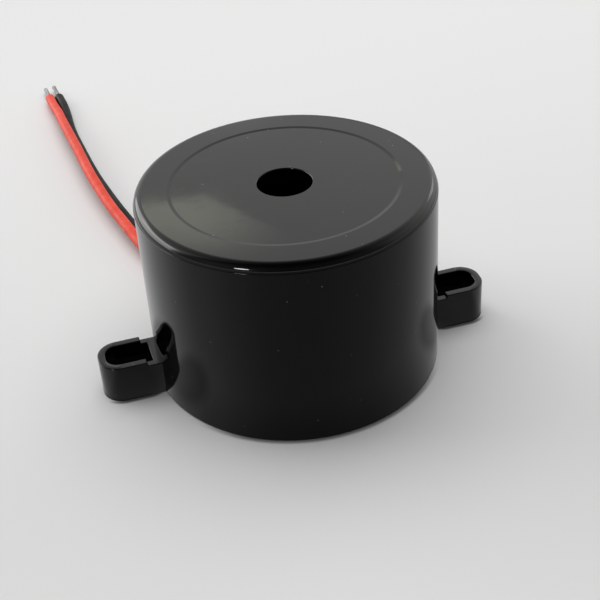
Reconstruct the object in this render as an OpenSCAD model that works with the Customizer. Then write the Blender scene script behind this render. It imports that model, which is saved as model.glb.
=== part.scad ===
// Piezo buzzer: a round potted can with two screw ears, a driver board inside and two leads.
// Millimetres. +Z is up, the origin is the middle of the can's rim, the ears lie along X
// and the leads leave at the back, towards +Y.

/* [Housing] */
// Outside diameter of the can
housing_d = 30; // [28:0.5:36]
// Height of the can
housing_h = 20.5; // [19:0.5:26]
// Wall of the can above the board
wall_t = 1.4; // [1.2:0.1:2]
// How much thinner the wall is below the board, which leaves the board its seat
rim_step = 0.5; // [0.3:0.1:0.6]
// Top plate thickness
top_t = 1.5; // [1.2:0.1:2.5]
// Radius of the rounded top edge
top_edge_r = 0.9; // [0.5:0.1:1.2]
// Depth of the fine mould line at the foot of the rounded edge
mould_line = 0.06; // [0.02:0.02:0.1]
// Rounding at the foot of the can
foot_r = 0.2; // [0.1:0.05:0.3]
// Sound hole diameter
sound_hole_d = 5.5; // [3:0.5:8]
// Depth of the shallow dish in the top face
dish_depth = 0.08; // [0.04:0.02:0.2]
// Width of the slope round the dish
dish_slope = 0.35; // [0.2:0.05:0.6]

/* [Screw ears] */
// Length over both ears
ear_span = 42; // [41:0.5:50]
// Width of an ear
ear_w = 4.8; // [4.4:0.2:7]
// Height of an ear's rim
ear_h = 4.2; // [3:0.2:6]
// Wall of an ear
ear_wall = 0.8; // [0.6:0.1:1.2]
// Radius of an ear's outer corners
ear_corner_r = 1.8; // [1.4:0.1:2.2]
// Length of the lower root between the can and the rim of an ear
ear_root = 1.3; // [0.8:0.1:2]
// How far the root lies below the rim
ear_root_drop = 0.4; // [0.2:0.1:1]
// Thickness of the web between the can and the slot
ear_web = 0.6; // [0.4:0.1:1]

/* [Sounder disc] */
// Width of the ledge that the disc seats on
ledge_w = 2; // [1.5:0.1:2.5]
// Height of the front chamber between the disc and the top plate
chamber_h = 3; // [2:0.25:4]
// Radial clearance of the disc in its bore
disc_clearance = 0.1; // [0.05:0.05:0.2]
// Brass plate thickness
plate_t = 0.25; // [0.15:0.05:0.4]
// Piezo ceramic diameter
ceramic_d = 20; // [17:0.5:21]
// Piezo ceramic thickness
ceramic_t = 0.25; // [0.15:0.05:0.4]
// Bare border of the ceramic round the silver
silver_border = 0.5; // [0.3:0.1:1]
// Silver thickness
silver_t = 0.05; // [0.04:0.01:0.1]
// Width of the feedback electrode's tongue
tongue_w = 3.6; // [2.5:0.1:5]
// Bare gap round the tongue
tongue_gap = 0.6; // [0.4:0.1:1]
// Width of the glue bead
glue_w = 0.9; // [0.5:0.1:1.2]
// Height of the glue bead
glue_h = 0.7; // [0.4:0.1:1]

/* [Driver board] */
// Height of the board's underside above the rim
board_z = 3.6; // [3.4:0.2:4.6]
// Board thickness
board_t = 1.2; // [0.8:0.2:1.6]
// Radial clearance of the board in the rim
board_clearance = 0.1; // [0.05:0.05:0.2]
// Copper thickness
copper_t = 0.05; // [0.04:0.01:0.1]
// Width of the copper tracks
track_w = 0.8; // [0.5:0.1:1]
// Pad diameter
pad_d = 1.1; // [1:0.05:1.2]
// Diameter of the components' legs
leg_d = 0.5; // [0.4:0.05:0.6]
// Radial clearance of a leg in its hole
hole_clearance = 0.15; // [0.1:0.05:0.2]
// How far the legs stand out below the board
leg_out = 1.2; // [0.9:0.1:1.6]
// Height of a solder joint
joint_h = 0.9; // [0.5:0.1:1.2]

/* [Components] */
// Diameter of the choke's flanges
choke_d = 7.8; // [6:0.2:8.4]
// Height of the choke
choke_h = 6.5; // [5:0.25:7.5]
// Thickness of the choke's flanges
choke_flange = 0.9; // [0.6:0.1:1.2]
// Diameter of the choke's middle post
choke_post_d = 3.6; // [3:0.2:4.4]
// Thickness of the shrink sleeve round the choke
sleeve_t = 0.25; // [0.15:0.05:0.4]
// Transistor body diameter
transistor_d = 4.6; // [4:0.1:4.8]
// Transistor body height
transistor_h = 4.6; // [4:0.1:5]
// Height of the transistor body above the board
transistor_stand = 2.5; // [1:0.1:3]
// Resistor body diameter
resistor_d = 2.2; // [1.6:0.1:2.4]
// Resistor body length
resistor_l = 6; // [4:0.2:6.4]
// Diode body diameter
diode_d = 2.6; // [1.8:0.1:2.8]
// Diode body length
diode_l = 5.2; // [4:0.2:5.6]
// Capacitor disc diameter
capacitor_d = 6.4; // [5.8:0.1:7]
// Capacitor disc thickness
capacitor_t = 2.4; // [1.8:0.1:3]
// Height of the capacitor above the board
capacitor_stand = 0.5; // [0.3:0.1:1.5]
// Height of the lying parts above the board
lift = 0.2; // [0.1:0.1:0.5]
// Diameter of the fine wires to the disc
wire_d = 0.7; // [0.5:0.05:0.8]

/* [Potting] */
// How far the potting lies inside the rim
potting_recess = 0.5; // [0.3:0.1:0.8]
// Radius of the meniscus where the potting meets the wall
meniscus_r = 0.3; // [0.1:0.05:0.3]

/* [Leads] */
// Lead diameter over the insulation
lead_d = 1.35; // [1.1:0.05:1.4]
// Diameter of the bare conductor
core_d = 0.64; // [0.4:0.02:0.7]
// Distance between the leads where they leave the can
lead_pitch = 1.6; // [1.45:0.05:1.8]
// Direction in which the leads leave, seen from above
lead_angle = 120; // [110:5:130]
// Clearance of the leads in the notch of the rim
notch_clearance = 0.15; // [0.05:0.05:0.3]
// Bare length at the far end of each lead
tip_l = 4; // [3:0.5:8]

/* [Hidden] */
$fn = 96;
SIDES = 8;

housing_r = housing_d / 2;
bore_r = housing_r - wall_t;
rim_bore_r = bore_r + rim_step;
chamber_r = bore_r - ledge_w;
plate_z = housing_h - top_t - chamber_h - plate_t;
ceramic_z = plate_z - ceramic_t;
silver_z = ceramic_z - silver_t;
ceramic_r = ceramic_d / 2;
silver_r = ceramic_r - silver_border;
board_top_z = board_z + board_t;
board_r = rim_bore_r - board_clearance;
copper_z = board_z - copper_t;
joint_z = copper_z - joint_h;
leg_z = board_z - leg_out;
leg_hole_d = leg_d + 2 * hole_clearance;

// Slot of an ear: from the web to the wall at its tip
slot_from = housing_r + ear_web;
slot_to = ear_span / 2 - ear_wall;
slot_w = ear_w - 2 * ear_wall;
slot_corner_r = ear_corner_r - ear_wall;

// Places of the components on the board, seen from above, as shares of its radius
choke_at = board_r * [0.36, -0.21];
transistor_at = board_r * [-0.43, -0.4];
bias_resistor_at = board_r * [-0.44, 0.09];
feedback_resistor_at = board_r * [-0.44, -0.12];
diode_at = board_r * [0.39, 0.37];
capacitor_at = board_r * [0.04, -0.69];
choke_pin_circle_r = 2.5;
transistor_pitch = 1.27;
resistor_span = 9;
diode_span = 9.6;
capacitor_span = 5;

function pin(at, dx) = [at[0] + dx, at[1]];
function on_circle(r, angle) = [r * cos(angle), r * sin(angle)];

// The fine wires: a hole in the board, and a dab of solder on the brass or on a silver electrode
ground_hole = board_r * [0.54, -0.64];
main_hole = board_r * [0.8, -0.11];
feedback_hole = board_r * [-0.64, 0.36];
bare_ring_w = bore_r - glue_w - ceramic_r;
tongue_l = 5.2;
ground_dab = on_circle(ceramic_r + bare_ring_w / 2, -60);
main_dab = on_circle(0.6 * silver_r, 35);
feedback_dab = [tongue_l / 2 - silver_r, 0];
wire_core_d = 0.3;
wire_hole_d = wire_core_d + 2 * hole_clearance;
dab_d = 1.62;
dab_h = 0.5;
ground_dab_d = min(dab_d, 0.6 * bare_ring_w);
// Their bend: how far across to the dab, and how far up to it, as shares
wire_bend = [[0, 0], [0, 0.2], [0.06, 0.5], [0.45, 0.74], [0.85, 0.86], [1, 0.93], [1, 1]];

choke_pins = [for (a = [90, 210, 330]) choke_at + on_circle(choke_pin_circle_r, a)];
transistor_pins = [for (i = [-1:1]) pin(transistor_at, i * transistor_pitch)];
bias_pins = [for (i = [-1, 1]) pin(bias_resistor_at, i * resistor_span / 2)];
feedback_pins = [for (i = [-1, 1]) pin(feedback_resistor_at, i * resistor_span / 2)];
diode_pins = [for (i = [-1, 1]) pin(diode_at, i * diode_span / 2)];
capacitor_pins = [for (i = [-1, 1]) pin(capacitor_at, i * capacitor_span / 2)];
wire_pins = [ground_hole, main_hole, feedback_hole];
leg_pins = concat(choke_pins, transistor_pins, bias_pins, feedback_pins, diode_pins, capacitor_pins);
all_pins = concat(leg_pins, wire_pins);

// The leads: out is the way they leave, side points from the red one to the black one
lead_r = lead_d / 2;
out = on_circle(1, lead_angle);
side = on_circle(1, lead_angle - 90);
lead_grip = 5.1;
lead_in_r = rim_bore_r - lead_grip;
lead_in_z = (potting_recess + copper_z) / 2;
lead_pad_r = lead_in_r - 1;
lead_pad_d = 1.3;
lead_joint_h = 0.6;
lead_wall_r = housing_r + 0.3;
lead_land_r = housing_r + 0.6;

function lead_point(r, z, lane) = [
    out[0] * r + side[0] * lane * lead_pitch / 2,
    out[1] * r + side[1] * lane * lead_pitch / 2,
    z
];
function run_z(r) = lead_in_z + (lead_r - lead_in_z) * (r - lead_in_r) / (lead_land_r - lead_in_r);
function lead_run(lane) = [
    lead_point(lead_in_r, lead_in_z, lane),
    lead_point(lead_wall_r, run_z(lead_wall_r), lane),
    lead_point(lead_land_r, lead_r, lane)
];
function lead_pad(lane) = [for (i = [0, 1]) lead_point(lead_pad_r, 0, lane)[i]];

// Loose stretch of each lead: x, y and height of its underside above the floor
red_route = [
    [-9.2, 14.6, 0.02], [-10.2, 17.2, 0.1], [-11.2, 20.3, 0.4], [-12.1, 23.7, 0.7], [-12.9, 27.1, 0.9],
    [-13.6, 30.6, 0.9], [-14.2, 33.8, 0.9], [-14.7, 37.2, 0.9], [-15.1, 40.6, 0.9], [-15.5, 44, 0.9],
    [-15.8, 47.6, 0.9], [-16, 51, 0.9], [-16.3, 54.4, 0.9], [-16.6, 57.8, 0.9], [-16.9, 61.2, 0.9],
    [-17.1, 64.4, 0.7], [-17.4, 67.6, 0.4], [-17.7, 70.8, 0.2]
];
black_route = [
    [-7.9, 15.3, 0.01], [-8.9, 17.7, 0.01], [-9.8, 20.7, 0.01], [-10.8, 24, 0.01], [-11.8, 27.3, 0.01],
    [-12.5, 30.8, 0.01], [-13.1, 34, 0.01], [-13.6, 37.3, 0.01], [-14, 40.7, 0.01], [-14.4, 44.1, 0.01],
    [-14.7, 47.7, 0.01], [-14.9, 51.1, 0.01], [-15.2, 54.5, 0.01], [-15.5, 57.9, 0.01], [-15.8, 61.3, 0.01],
    [-15.9, 64.5, 0.01], [-16, 67.7, 0.01], [-16.3, 70.9, 0.01]
];
function laid(route) = [for (p = route) [p[0], p[1], p[2] + lead_r]];
function lead_path(lane, route) = concat(lead_run(lane), laid(route));

// Tube of SIDES sides along a path; ref is never parallel to the path
function unit(v) = v / norm(v);
function heading(path, i) =
    i == 0 ? unit(path[1] - path[0]) :
    i == len(path) - 1 ? unit(path[i] - path[i - 1]) :
    unit(unit(path[i + 1] - path[i]) + unit(path[i] - path[i - 1]));
function ring(centre, way, r, ref) =
    let (u = unit(cross(way, ref)), v = cross(u, way))
    [for (k = [0:SIDES - 1]) centre + r * (cos(360 * k / SIDES) * u + sin(360 * k / SIDES) * v)];
function tube_points(path, r, ref) =
    [for (i = [0:len(path) - 1]) each ring(path[i], heading(path, i), r, ref)];
function tube_faces(rings) = concat(
    [[for (k = [0:SIDES - 1]) SIDES - 1 - k]],
    [for (i = [0:rings - 2], k = [0:SIDES - 1])
        let (a = i * SIDES + k, b = i * SIDES + (k + 1) % SIDES)
        each [[a, b, b + SIDES], [a, b + SIDES, a + SIDES]]],
    [[for (k = [0:SIDES - 1]) (rings - 1) * SIDES + k]]
);

module tube(path, d, ref) {
    polyhedron(points = tube_points(path, d / 2, ref), faces = tube_faces(len(path)), convexity = 6);
}

// Housing

module can_profile() {
    shoulder_z = housing_h - top_edge_r;
    face_r = housing_r - mould_line - top_edge_r;
    difference() {
        union() {
            translate([0, foot_r]) square([housing_r, shoulder_z - foot_r]);
            square([housing_r - foot_r, shoulder_z]);
            translate([housing_r - foot_r, foot_r]) circle(r = foot_r);
            square([face_r, housing_h]);
            translate([face_r, shoulder_z]) circle(r = top_edge_r);
        }
        translate([-housing_d, -housing_h]) square([housing_d, 3 * housing_h]);
    }
}

module can_bores() {
    slack = 1;
    translate([0, 0, -slack]) cylinder(r = rim_bore_r, h = board_top_z + slack);
    translate([0, 0, board_z]) cylinder(r = bore_r, h = plate_z + plate_t - board_z);
    translate([0, 0, board_z]) cylinder(r = chamber_r, h = housing_h - top_t - board_z);
    cylinder(d = sound_hole_d, h = housing_h + slack);
}

// Shallow dish of the top face, over the front chamber
module face_dish() {
    translate([0, 0, housing_h - dish_depth])
        cylinder(r1 = chamber_r - dish_slope, r2 = chamber_r, h = dish_depth);
}

// One ear on the +X side, as an upright U with a web at its root
module ear() {
    tip = ear_span / 2;
    root_to = housing_r + ear_root;
    root_h = ear_h - ear_root_drop;
    difference() {
        union() {
            translate([0, -ear_w / 2, 0]) cube([root_to, ear_w, root_h]);
            translate([root_to, -ear_w / 2, 0]) cube([tip - ear_corner_r - root_to, ear_w, ear_h]);
            translate([0, ear_corner_r - ear_w / 2, 0]) cube([tip, ear_w - 2 * ear_corner_r, root_h]);
            translate([root_to, ear_corner_r - ear_w / 2, 0])
                cube([tip - root_to, ear_w - 2 * ear_corner_r, ear_h]);
            for (s = [-1, 1])
                translate([tip - ear_corner_r, s * (ear_w / 2 - ear_corner_r), 0])
                    cylinder(r = ear_corner_r, h = ear_h);
        }
        ear_slot();
    }
}

module ear_slot() {
    slack = 1;
    tall = ear_h + 2 * slack;
    straight = slot_to - slot_corner_r - slot_from;
    translate([slot_from, -slot_w / 2, -slack]) cube([straight, slot_w, tall]);
    translate([slot_from, slot_corner_r - slot_w / 2, -slack])
        cube([slot_to - slot_from, slot_w - 2 * slot_corner_r, tall]);
    for (s = [-1, 1])
        translate([slot_to - slot_corner_r, s * (slot_w / 2 - slot_corner_r), -slack])
            cylinder(r = slot_corner_r, h = tall);
}

notch_w = lead_pitch + lead_d + 2 * notch_clearance;
notch_h = run_z(rim_bore_r) + lead_r + notch_clearance;
notch_corner_r = 0.5;

// Notch of the rim where the leads leave; it runs out along its own +X
module notch() {
    slack = 1;
    reach = housing_r - bore_r + slack;
    rotate([0, 0, lead_angle]) translate([bore_r, 0, 0]) {
        translate([0, -notch_w / 2, -slack]) cube([reach, notch_w, notch_h - notch_corner_r + slack]);
        translate([0, notch_corner_r - notch_w / 2, -slack])
            cube([reach, notch_w - 2 * notch_corner_r, notch_h + slack]);
        for (s = [-1, 1])
            translate([0, s * (notch_w / 2 - notch_corner_r), notch_h - notch_corner_r])
                rotate([0, 90, 0]) cylinder(r = notch_corner_r, h = reach);
    }
}

module housing() {
    color([0.05, 0.05, 0.055]) difference() {
        union() {
            rotate_extrude() can_profile();
            ear();
            mirror([1, 0, 0]) ear();
        }
        can_bores();
        face_dish();
        notch();
    }
}

// Sounder disc

module piezo_plate() {
    color([0.85, 0.7, 0.35]) translate([0, 0, plate_z])
        cylinder(r = bore_r - disc_clearance, h = plate_t);
}

module glue_bead() {
    color([0.85, 0.85, 0.82]) translate([0, 0, plate_z]) rotate_extrude() difference() {
        translate([bore_r - glue_w, -glue_h]) square([glue_w, glue_h]);
        translate([bore_r - glue_w, -glue_h]) circle(r = min(glue_w, glue_h) * 0.8);
    }
}

module piezo_ceramic() {
    color([0.9, 0.86, 0.74]) translate([0, 0, ceramic_z]) cylinder(r = ceramic_r, h = ceramic_t);
}

// Tongue of the feedback electrode, from the edge of the silver inward along -X
module tongue(grow) {
    slack = 1;
    w = tongue_w + 2 * grow;
    straight = tongue_l - tongue_w / 2;
    translate([-silver_r - slack, -w / 2]) square([straight + slack, w]);
    translate([straight - silver_r, 0]) circle(d = w);
}

module main_electrode() {
    color([0.85, 0.85, 0.86]) translate([0, 0, silver_z]) linear_extrude(silver_t) difference() {
        circle(r = silver_r);
        tongue(tongue_gap);
    }
}

module feedback_electrode() {
    color([0.85, 0.85, 0.86]) translate([0, 0, silver_z]) linear_extrude(silver_t) intersection() {
        circle(r = silver_r);
        tongue(0);
    }
}

// A dab of solder under the disc, with its flat foot on the end of a wire
module dab(at, top_z, d) {
    translate([at[0], at[1], top_z - dab_h]) cylinder(d1 = 0.55 * d, d2 = d, h = dab_h);
}

module disc_solder() {
    color([0.75, 0.75, 0.76]) {
        dab(ground_dab, plate_z, ground_dab_d);
        dab(main_dab, silver_z, dab_d);
        dab(feedback_dab, silver_z, dab_d);
    }
}

// Driver board

module driver_board() {
    slack = 1;
    color([0.72, 0.6, 0.35]) translate([0, 0, board_z]) difference() {
        cylinder(r = board_r, h = board_t);
        for (p = leg_pins) translate([p[0], p[1], -slack]) cylinder(d = leg_hole_d, h = board_t + 2 * slack);
        for (p = wire_pins) translate([p[0], p[1], -slack]) cylinder(d = wire_hole_d, h = board_t + 2 * slack);
    }
}

module track(a, b) {
    way = b - a;
    translate(a) rotate(atan2(way[1], way[0])) translate([0, -track_w / 2]) square([norm(way), track_w]);
}

// Straight tracks from pad to pad, with a round corner at each bend
module track_line(points) {
    for (i = [0:len(points) - 2]) track(points[i], points[i + 1]);
    for (i = [1:1:len(points) - 2]) translate(points[i]) circle(d = 1.1 * track_w);
}

module copper_pattern() {
    for (p = all_pins) translate(p) circle(d = pad_d);
    for (lane = [-1, 1]) translate(lead_pad(lane)) circle(d = lead_pad_d);
    // Supply: red lead, diode, choke tap, bias resistor and capacitor
    track_line([lead_pad(-1), diode_pins[0]]);
    track_line([diode_pins[1], choke_pins[0], bias_pins[1]]);
    track_line([choke_pins[0], board_r * [0.36, -0.46], capacitor_pins[1]]);
    // Base of the transistor, fed by both resistors
    track_line([bias_pins[0], feedback_pins[0], board_r * [-0.43, -0.29], transistor_pins[1]]);
    track_line([feedback_pins[1], wire_pins[2]]);
    // Collector, and the stepped-up side to the disc
    track_line([transistor_pins[2], choke_pins[1]]);
    track_line([choke_pins[2], wire_pins[1]]);
    // Ground: round the edge from the black lead to the emitter, capacitor and disc
    edge = board_r * [[-0.39, 0.72], [-0.8, 0.4], [-0.89, 0], [-0.79, -0.4]];
    track_line(concat([lead_pad(1)], edge, [transistor_pins[0]]));
    foot = board_r * [[-0.07, -0.82], [0.44, -0.8]];
    track_line(concat([transistor_pins[0], capacitor_pins[0]], foot, [wire_pins[0]]));
}

module board_copper() {
    color([0.8, 0.5, 0.3]) translate([0, 0, copper_z]) linear_extrude(copper_t) difference() {
        copper_pattern();
        for (p = leg_pins) translate(p) circle(d = leg_hole_d);
        for (p = wire_pins) translate(p) circle(d = wire_hole_d);
    }
}

// Outer shape of a solder joint under the board
module joint(p) {
    translate([p[0], p[1], joint_z]) cylinder(d1 = leg_d + 0.1, d2 = pad_d - 0.05, h = joint_h);
}

module lead_joint(lane) {
    p = lead_pad(lane);
    translate([p[0], p[1], copper_z - lead_joint_h])
        cylinder(d1 = core_d + 0.1, d2 = lead_pad_d - 0.1, h = lead_joint_h);
}

module board_solder() {
    color([0.75, 0.75, 0.76]) {
        difference() {
            for (p = all_pins) joint(p);
            for (p = leg_pins) translate([p[0], p[1], leg_z]) cylinder(d = leg_d, h = leg_out);
            for (p = wire_pins) translate([p[0], p[1], joint_z]) cylinder(d = wire_core_d, h = joint_h);
        }
        for (lane = [-1, 1]) lead_joint(lane);
    }
}

// A leg from a height above the board down through its hole
module leg(p, from_z) {
    translate([p[0], p[1], leg_z]) cylinder(d = leg_d, h = from_z - leg_z);
}

// Choke

module choke_place() {
    translate([choke_at[0], choke_at[1], board_top_z]) children();
}

module choke_core() {
    color([0.2, 0.2, 0.2]) choke_place() {
        cylinder(d = choke_d, h = choke_flange);
        cylinder(d = choke_post_d, h = choke_h);
        translate([0, 0, choke_h - choke_flange]) cylinder(d = choke_d, h = choke_flange);
    }
}

module choke_winding() {
    winding_d = choke_d - 0.6;
    color([0.6, 0.3, 0.12]) choke_place() translate([0, 0, choke_flange]) difference() {
        cylinder(d = winding_d, h = choke_h - 2 * choke_flange);
        translate([0, 0, -1]) cylinder(d = choke_post_d, h = choke_h);
    }
}

module choke_sleeve() {
    lip = 0.8;
    color([0.1, 0.25, 0.12]) choke_place() difference() {
        cylinder(d = choke_d + 2 * sleeve_t, h = choke_h + sleeve_t);
        translate([0, 0, -1]) cylinder(d = choke_d, h = choke_h + 1);
        cylinder(d = choke_d - 2 * lip, h = choke_h + 1);
    }
}

module choke_pins() {
    color([0.8, 0.8, 0.8]) for (p = choke_pins) leg(p, board_top_z);
}

// Transistor

module transistor_body() {
    flat = transistor_d / 2 - 1;
    color([0.08, 0.08, 0.08])
        translate([transistor_at[0], transistor_at[1], board_top_z + transistor_stand]) difference() {
            cylinder(d = transistor_d, h = transistor_h);
            translate([-transistor_d, -transistor_d - flat, -1]) cube([2 * transistor_d, transistor_d, transistor_h + 2]);
        }
}

module transistor_legs() {
    color([0.8, 0.8, 0.8]) for (p = transistor_pins) leg(p, board_top_z + transistor_stand);
}

// A lying body along X with its two bent wires
module lying_wires(at, span, body_d, body_l) {
    z = board_top_z + lift + body_d / 2;
    for (s = [-1, 1]) {
        corner = at[0] + s * span / 2;
        inner = at[0] + s * body_l / 2;
        leg([corner, at[1]], z);
        translate([corner, at[1], z]) sphere(d = leg_d);
        translate([min(corner, inner), at[1], z]) rotate([0, 90, 0]) cylinder(d = leg_d, h = abs(corner - inner));
    }
}

// Resistor body: a slim barrel with thicker ends
module resistor_body(at) {
    cap_l = 1.5;
    end_r = 0.3;
    waist_d = resistor_d - 0.5;
    translate([at[0] - resistor_l / 2, at[1], board_top_z + lift + resistor_d / 2]) rotate([0, 90, 0]) {
        cylinder(d = waist_d, h = resistor_l);
        for (z = [end_r, resistor_l - cap_l]) translate([0, 0, z]) cylinder(d = resistor_d, h = cap_l - end_r);
        for (z = [0, resistor_l - end_r])
            translate([0, 0, z])
                cylinder(d1 = z == 0 ? waist_d : resistor_d, d2 = z == 0 ? resistor_d : waist_d, h = end_r);
    }
}

module bias_resistor() {
    color([0.8, 0.7, 0.5]) resistor_body(bias_resistor_at);
}

module bias_resistor_wires() {
    color([0.8, 0.8, 0.8]) lying_wires(bias_resistor_at, resistor_span, resistor_d, resistor_l);
}

module feedback_resistor() {
    color([0.8, 0.7, 0.5]) resistor_body(feedback_resistor_at);
}

module feedback_resistor_wires() {
    color([0.8, 0.8, 0.8]) lying_wires(feedback_resistor_at, resistor_span, resistor_d, resistor_l);
}

module input_diode() {
    color([0.1, 0.1, 0.1])
        translate([diode_at[0] - diode_l / 2, diode_at[1], board_top_z + lift + diode_d / 2])
            rotate([0, 90, 0]) cylinder(d = diode_d, h = diode_l);
}

module input_diode_wires() {
    color([0.8, 0.8, 0.8]) lying_wires(diode_at, diode_span, diode_d, diode_l);
}

// Disc capacitor that stands on its legs

module capacitor_shape() {
    edge_r = 0.6;
    translate([capacitor_at[0], capacitor_at[1] + capacitor_t / 2, capacitor_z()]) rotate([90, 0, 0])
        rotate_extrude() difference() {
            union() {
                square([capacitor_d / 2 - edge_r, capacitor_t]);
                translate([0, edge_r]) square([capacitor_d / 2, capacitor_t - 2 * edge_r]);
                for (y = [edge_r, capacitor_t - edge_r])
                    translate([capacitor_d / 2 - edge_r, y]) circle(r = edge_r);
            }
            translate([-capacitor_d, -1]) square([capacitor_d, capacitor_t + 2]);
        }
}

function capacitor_z() = board_top_z + capacitor_stand + capacitor_d / 2;

module capacitor_body() {
    color([0.75, 0.4, 0.12]) capacitor_shape();
}

module capacitor_legs() {
    color([0.8, 0.8, 0.8]) difference() {
        for (p = capacitor_pins) leg(p, capacitor_z());
        capacitor_shape();
    }
}

// Fine wires to the disc: insulation above the board, bare core through it

module disc_wire(hole, dab_at, disc_z) {
    rise = disc_z - dab_h - board_top_z;
    across = dab_at - hole;
    path = [for (b = wire_bend)
        [hole[0] + b[0] * across[0], hole[1] + b[0] * across[1], board_top_z + b[1] * rise]];
    tube(path, wire_d, [across[1], -across[0], 0]);
    translate([hole[0], hole[1], joint_z]) cylinder(d = wire_core_d, h = board_top_z - joint_z);
}

module ground_wire() {
    color([0.1, 0.1, 0.1]) disc_wire(ground_hole, ground_dab, plate_z);
}

module main_wire() {
    color([0.8, 0.1, 0.08]) disc_wire(main_hole, main_dab, silver_z);
}

module feedback_wire() {
    color([0.1, 0.2, 0.7]) disc_wire(feedback_hole, feedback_dab, silver_z);
}

// Leads

module red_lead() {
    color([0.86, 0.13, 0.08]) tube(lead_path(-1, red_route), lead_d, [0, 0, 1]);
}

module black_lead() {
    color([0.06, 0.06, 0.06]) tube(lead_path(1, black_route), lead_d, [0, 0, 1]);
}

// Bare inner end of a lead, bent up to its pad
module lead_core(lane) {
    bare = 0.4;
    from = lead_run(lane)[0];
    start = from + bare * unit(from - lead_run(lane)[1]);
    pad = lead_pad(lane);
    end_z = copper_z - lead_joint_h;
    path = [from, start, [pad[0], pad[1], (start[2] + end_z) / 2], [pad[0], pad[1], end_z]];
    tube(path, core_d, [side[0], side[1], 0]);
}

module lead_cores() {
    color([0.8, 0.8, 0.8]) for (lane = [-1, 1]) lead_core(lane);
}

// Bare outer end, straight on from the last stretch of the insulation
module lead_tip(route) {
    path = laid(route);
    end = path[len(path) - 1];
    way = unit(end - path[len(path) - 2]);
    tube([end, end + tip_l * way], core_d, [0, 0, 1]);
}

module red_lead_tip() {
    color([0.8, 0.8, 0.8]) lead_tip(red_route);
}

module black_lead_tip() {
    color([0.8, 0.8, 0.8]) lead_tip(black_route);
}

// Potting: fills the rim below the board and the notch round the leads

module potting_fill() {
    plug_inset = 0.15;
    slack = 1;
    fill_h = copper_z - potting_recess;
    translate([0, 0, potting_recess]) cylinder(r = rim_bore_r, h = fill_h);
    rotate_extrude() difference() {
        translate([rim_bore_r - meniscus_r, potting_recess - meniscus_r]) square(meniscus_r);
        translate([rim_bore_r - meniscus_r, potting_recess - meniscus_r]) circle(r = meniscus_r);
    }
    intersection() {
        notch();
        translate([0, 0, potting_recess]) cylinder(r = housing_r - plug_inset, h = notch_h + slack);
    }
}

module potting() {
    color([0.09, 0.09, 0.1]) difference() {
        potting_fill();
        for (p = all_pins) joint(p);
        for (p = leg_pins) leg(p, board_z);
        for (lane = [-1, 1]) {
            lead_joint(lane);
            lead_core(lane);
            tube([for (i = [0, 1]) lead_run(lane)[i]], lead_d, [0, 0, 1]);
        }
    }
}

housing();
piezo_plate();
glue_bead();
piezo_ceramic();
main_electrode();
feedback_electrode();
disc_solder();
driver_board();
board_copper();
board_solder();
choke_core();
choke_winding();
choke_sleeve();
choke_pins();
transistor_body();
transistor_legs();
bias_resistor();
bias_resistor_wires();
feedback_resistor();
feedback_resistor_wires();
input_diode();
input_diode_wires();
capacitor_body();
capacitor_legs();
ground_wire();
main_wire();
feedback_wire();
potting();
red_lead();
black_lead();
lead_cores();
red_lead_tip();
black_lead_tip();
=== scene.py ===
# %% [markdown]
# # A glossy black piezo buzzer
# This lesson dresses a small electronic sounder: a round moulded can with two screw ears, a red and a black
# lead at the back, and the sounder disc, driver board and potting inside. The exact solids come from a CAD
# frame that is already at its real size, so the work here is about form where the camera looks closely, about
# finish and about light.
# The first cell loads that frame.

import math

import bmesh
import bpy
from mathutils import Matrix, Vector


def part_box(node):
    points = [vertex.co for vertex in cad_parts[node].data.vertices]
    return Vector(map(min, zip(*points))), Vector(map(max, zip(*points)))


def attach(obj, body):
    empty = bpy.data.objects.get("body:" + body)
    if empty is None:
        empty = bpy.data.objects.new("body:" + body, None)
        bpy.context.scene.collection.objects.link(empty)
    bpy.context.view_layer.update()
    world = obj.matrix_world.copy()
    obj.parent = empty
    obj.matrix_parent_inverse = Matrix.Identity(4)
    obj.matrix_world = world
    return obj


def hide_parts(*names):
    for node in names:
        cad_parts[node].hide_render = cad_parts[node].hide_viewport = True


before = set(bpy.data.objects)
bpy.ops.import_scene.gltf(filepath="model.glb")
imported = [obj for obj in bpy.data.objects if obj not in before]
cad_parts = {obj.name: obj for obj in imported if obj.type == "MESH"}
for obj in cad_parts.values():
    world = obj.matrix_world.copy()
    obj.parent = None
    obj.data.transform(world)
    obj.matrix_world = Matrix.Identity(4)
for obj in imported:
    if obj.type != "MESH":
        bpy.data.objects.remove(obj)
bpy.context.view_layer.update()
MM = 0.001
print("nodes in the frame:", len(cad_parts))

# %% [markdown]
# ## The camera
# A photograph of a small thing is taken from close by, so the near side looks larger. The camera is placed by
# the distance and angles that a fit of the can's outline gave, and aimed a little off the can's middle.
# A camera looks along its own -Z axis, so its three axes are worked out one by one: back, right and up.

# %% Camera
VIEW_AZIMUTH = math.radians(-14.13)
VIEW_ELEVATION = math.radians(35.23)
VIEW_ROLL = math.radians(-4.12)
VIEW_DISTANCE = 128.4 * MM
AIM_RIGHT = 0.78 * MM
AIM_UP = -1.43 * MM
AIM_HEIGHT = 8.0 * MM
LENS = 74.23
CLIP_START = 10.0 * MM


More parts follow.
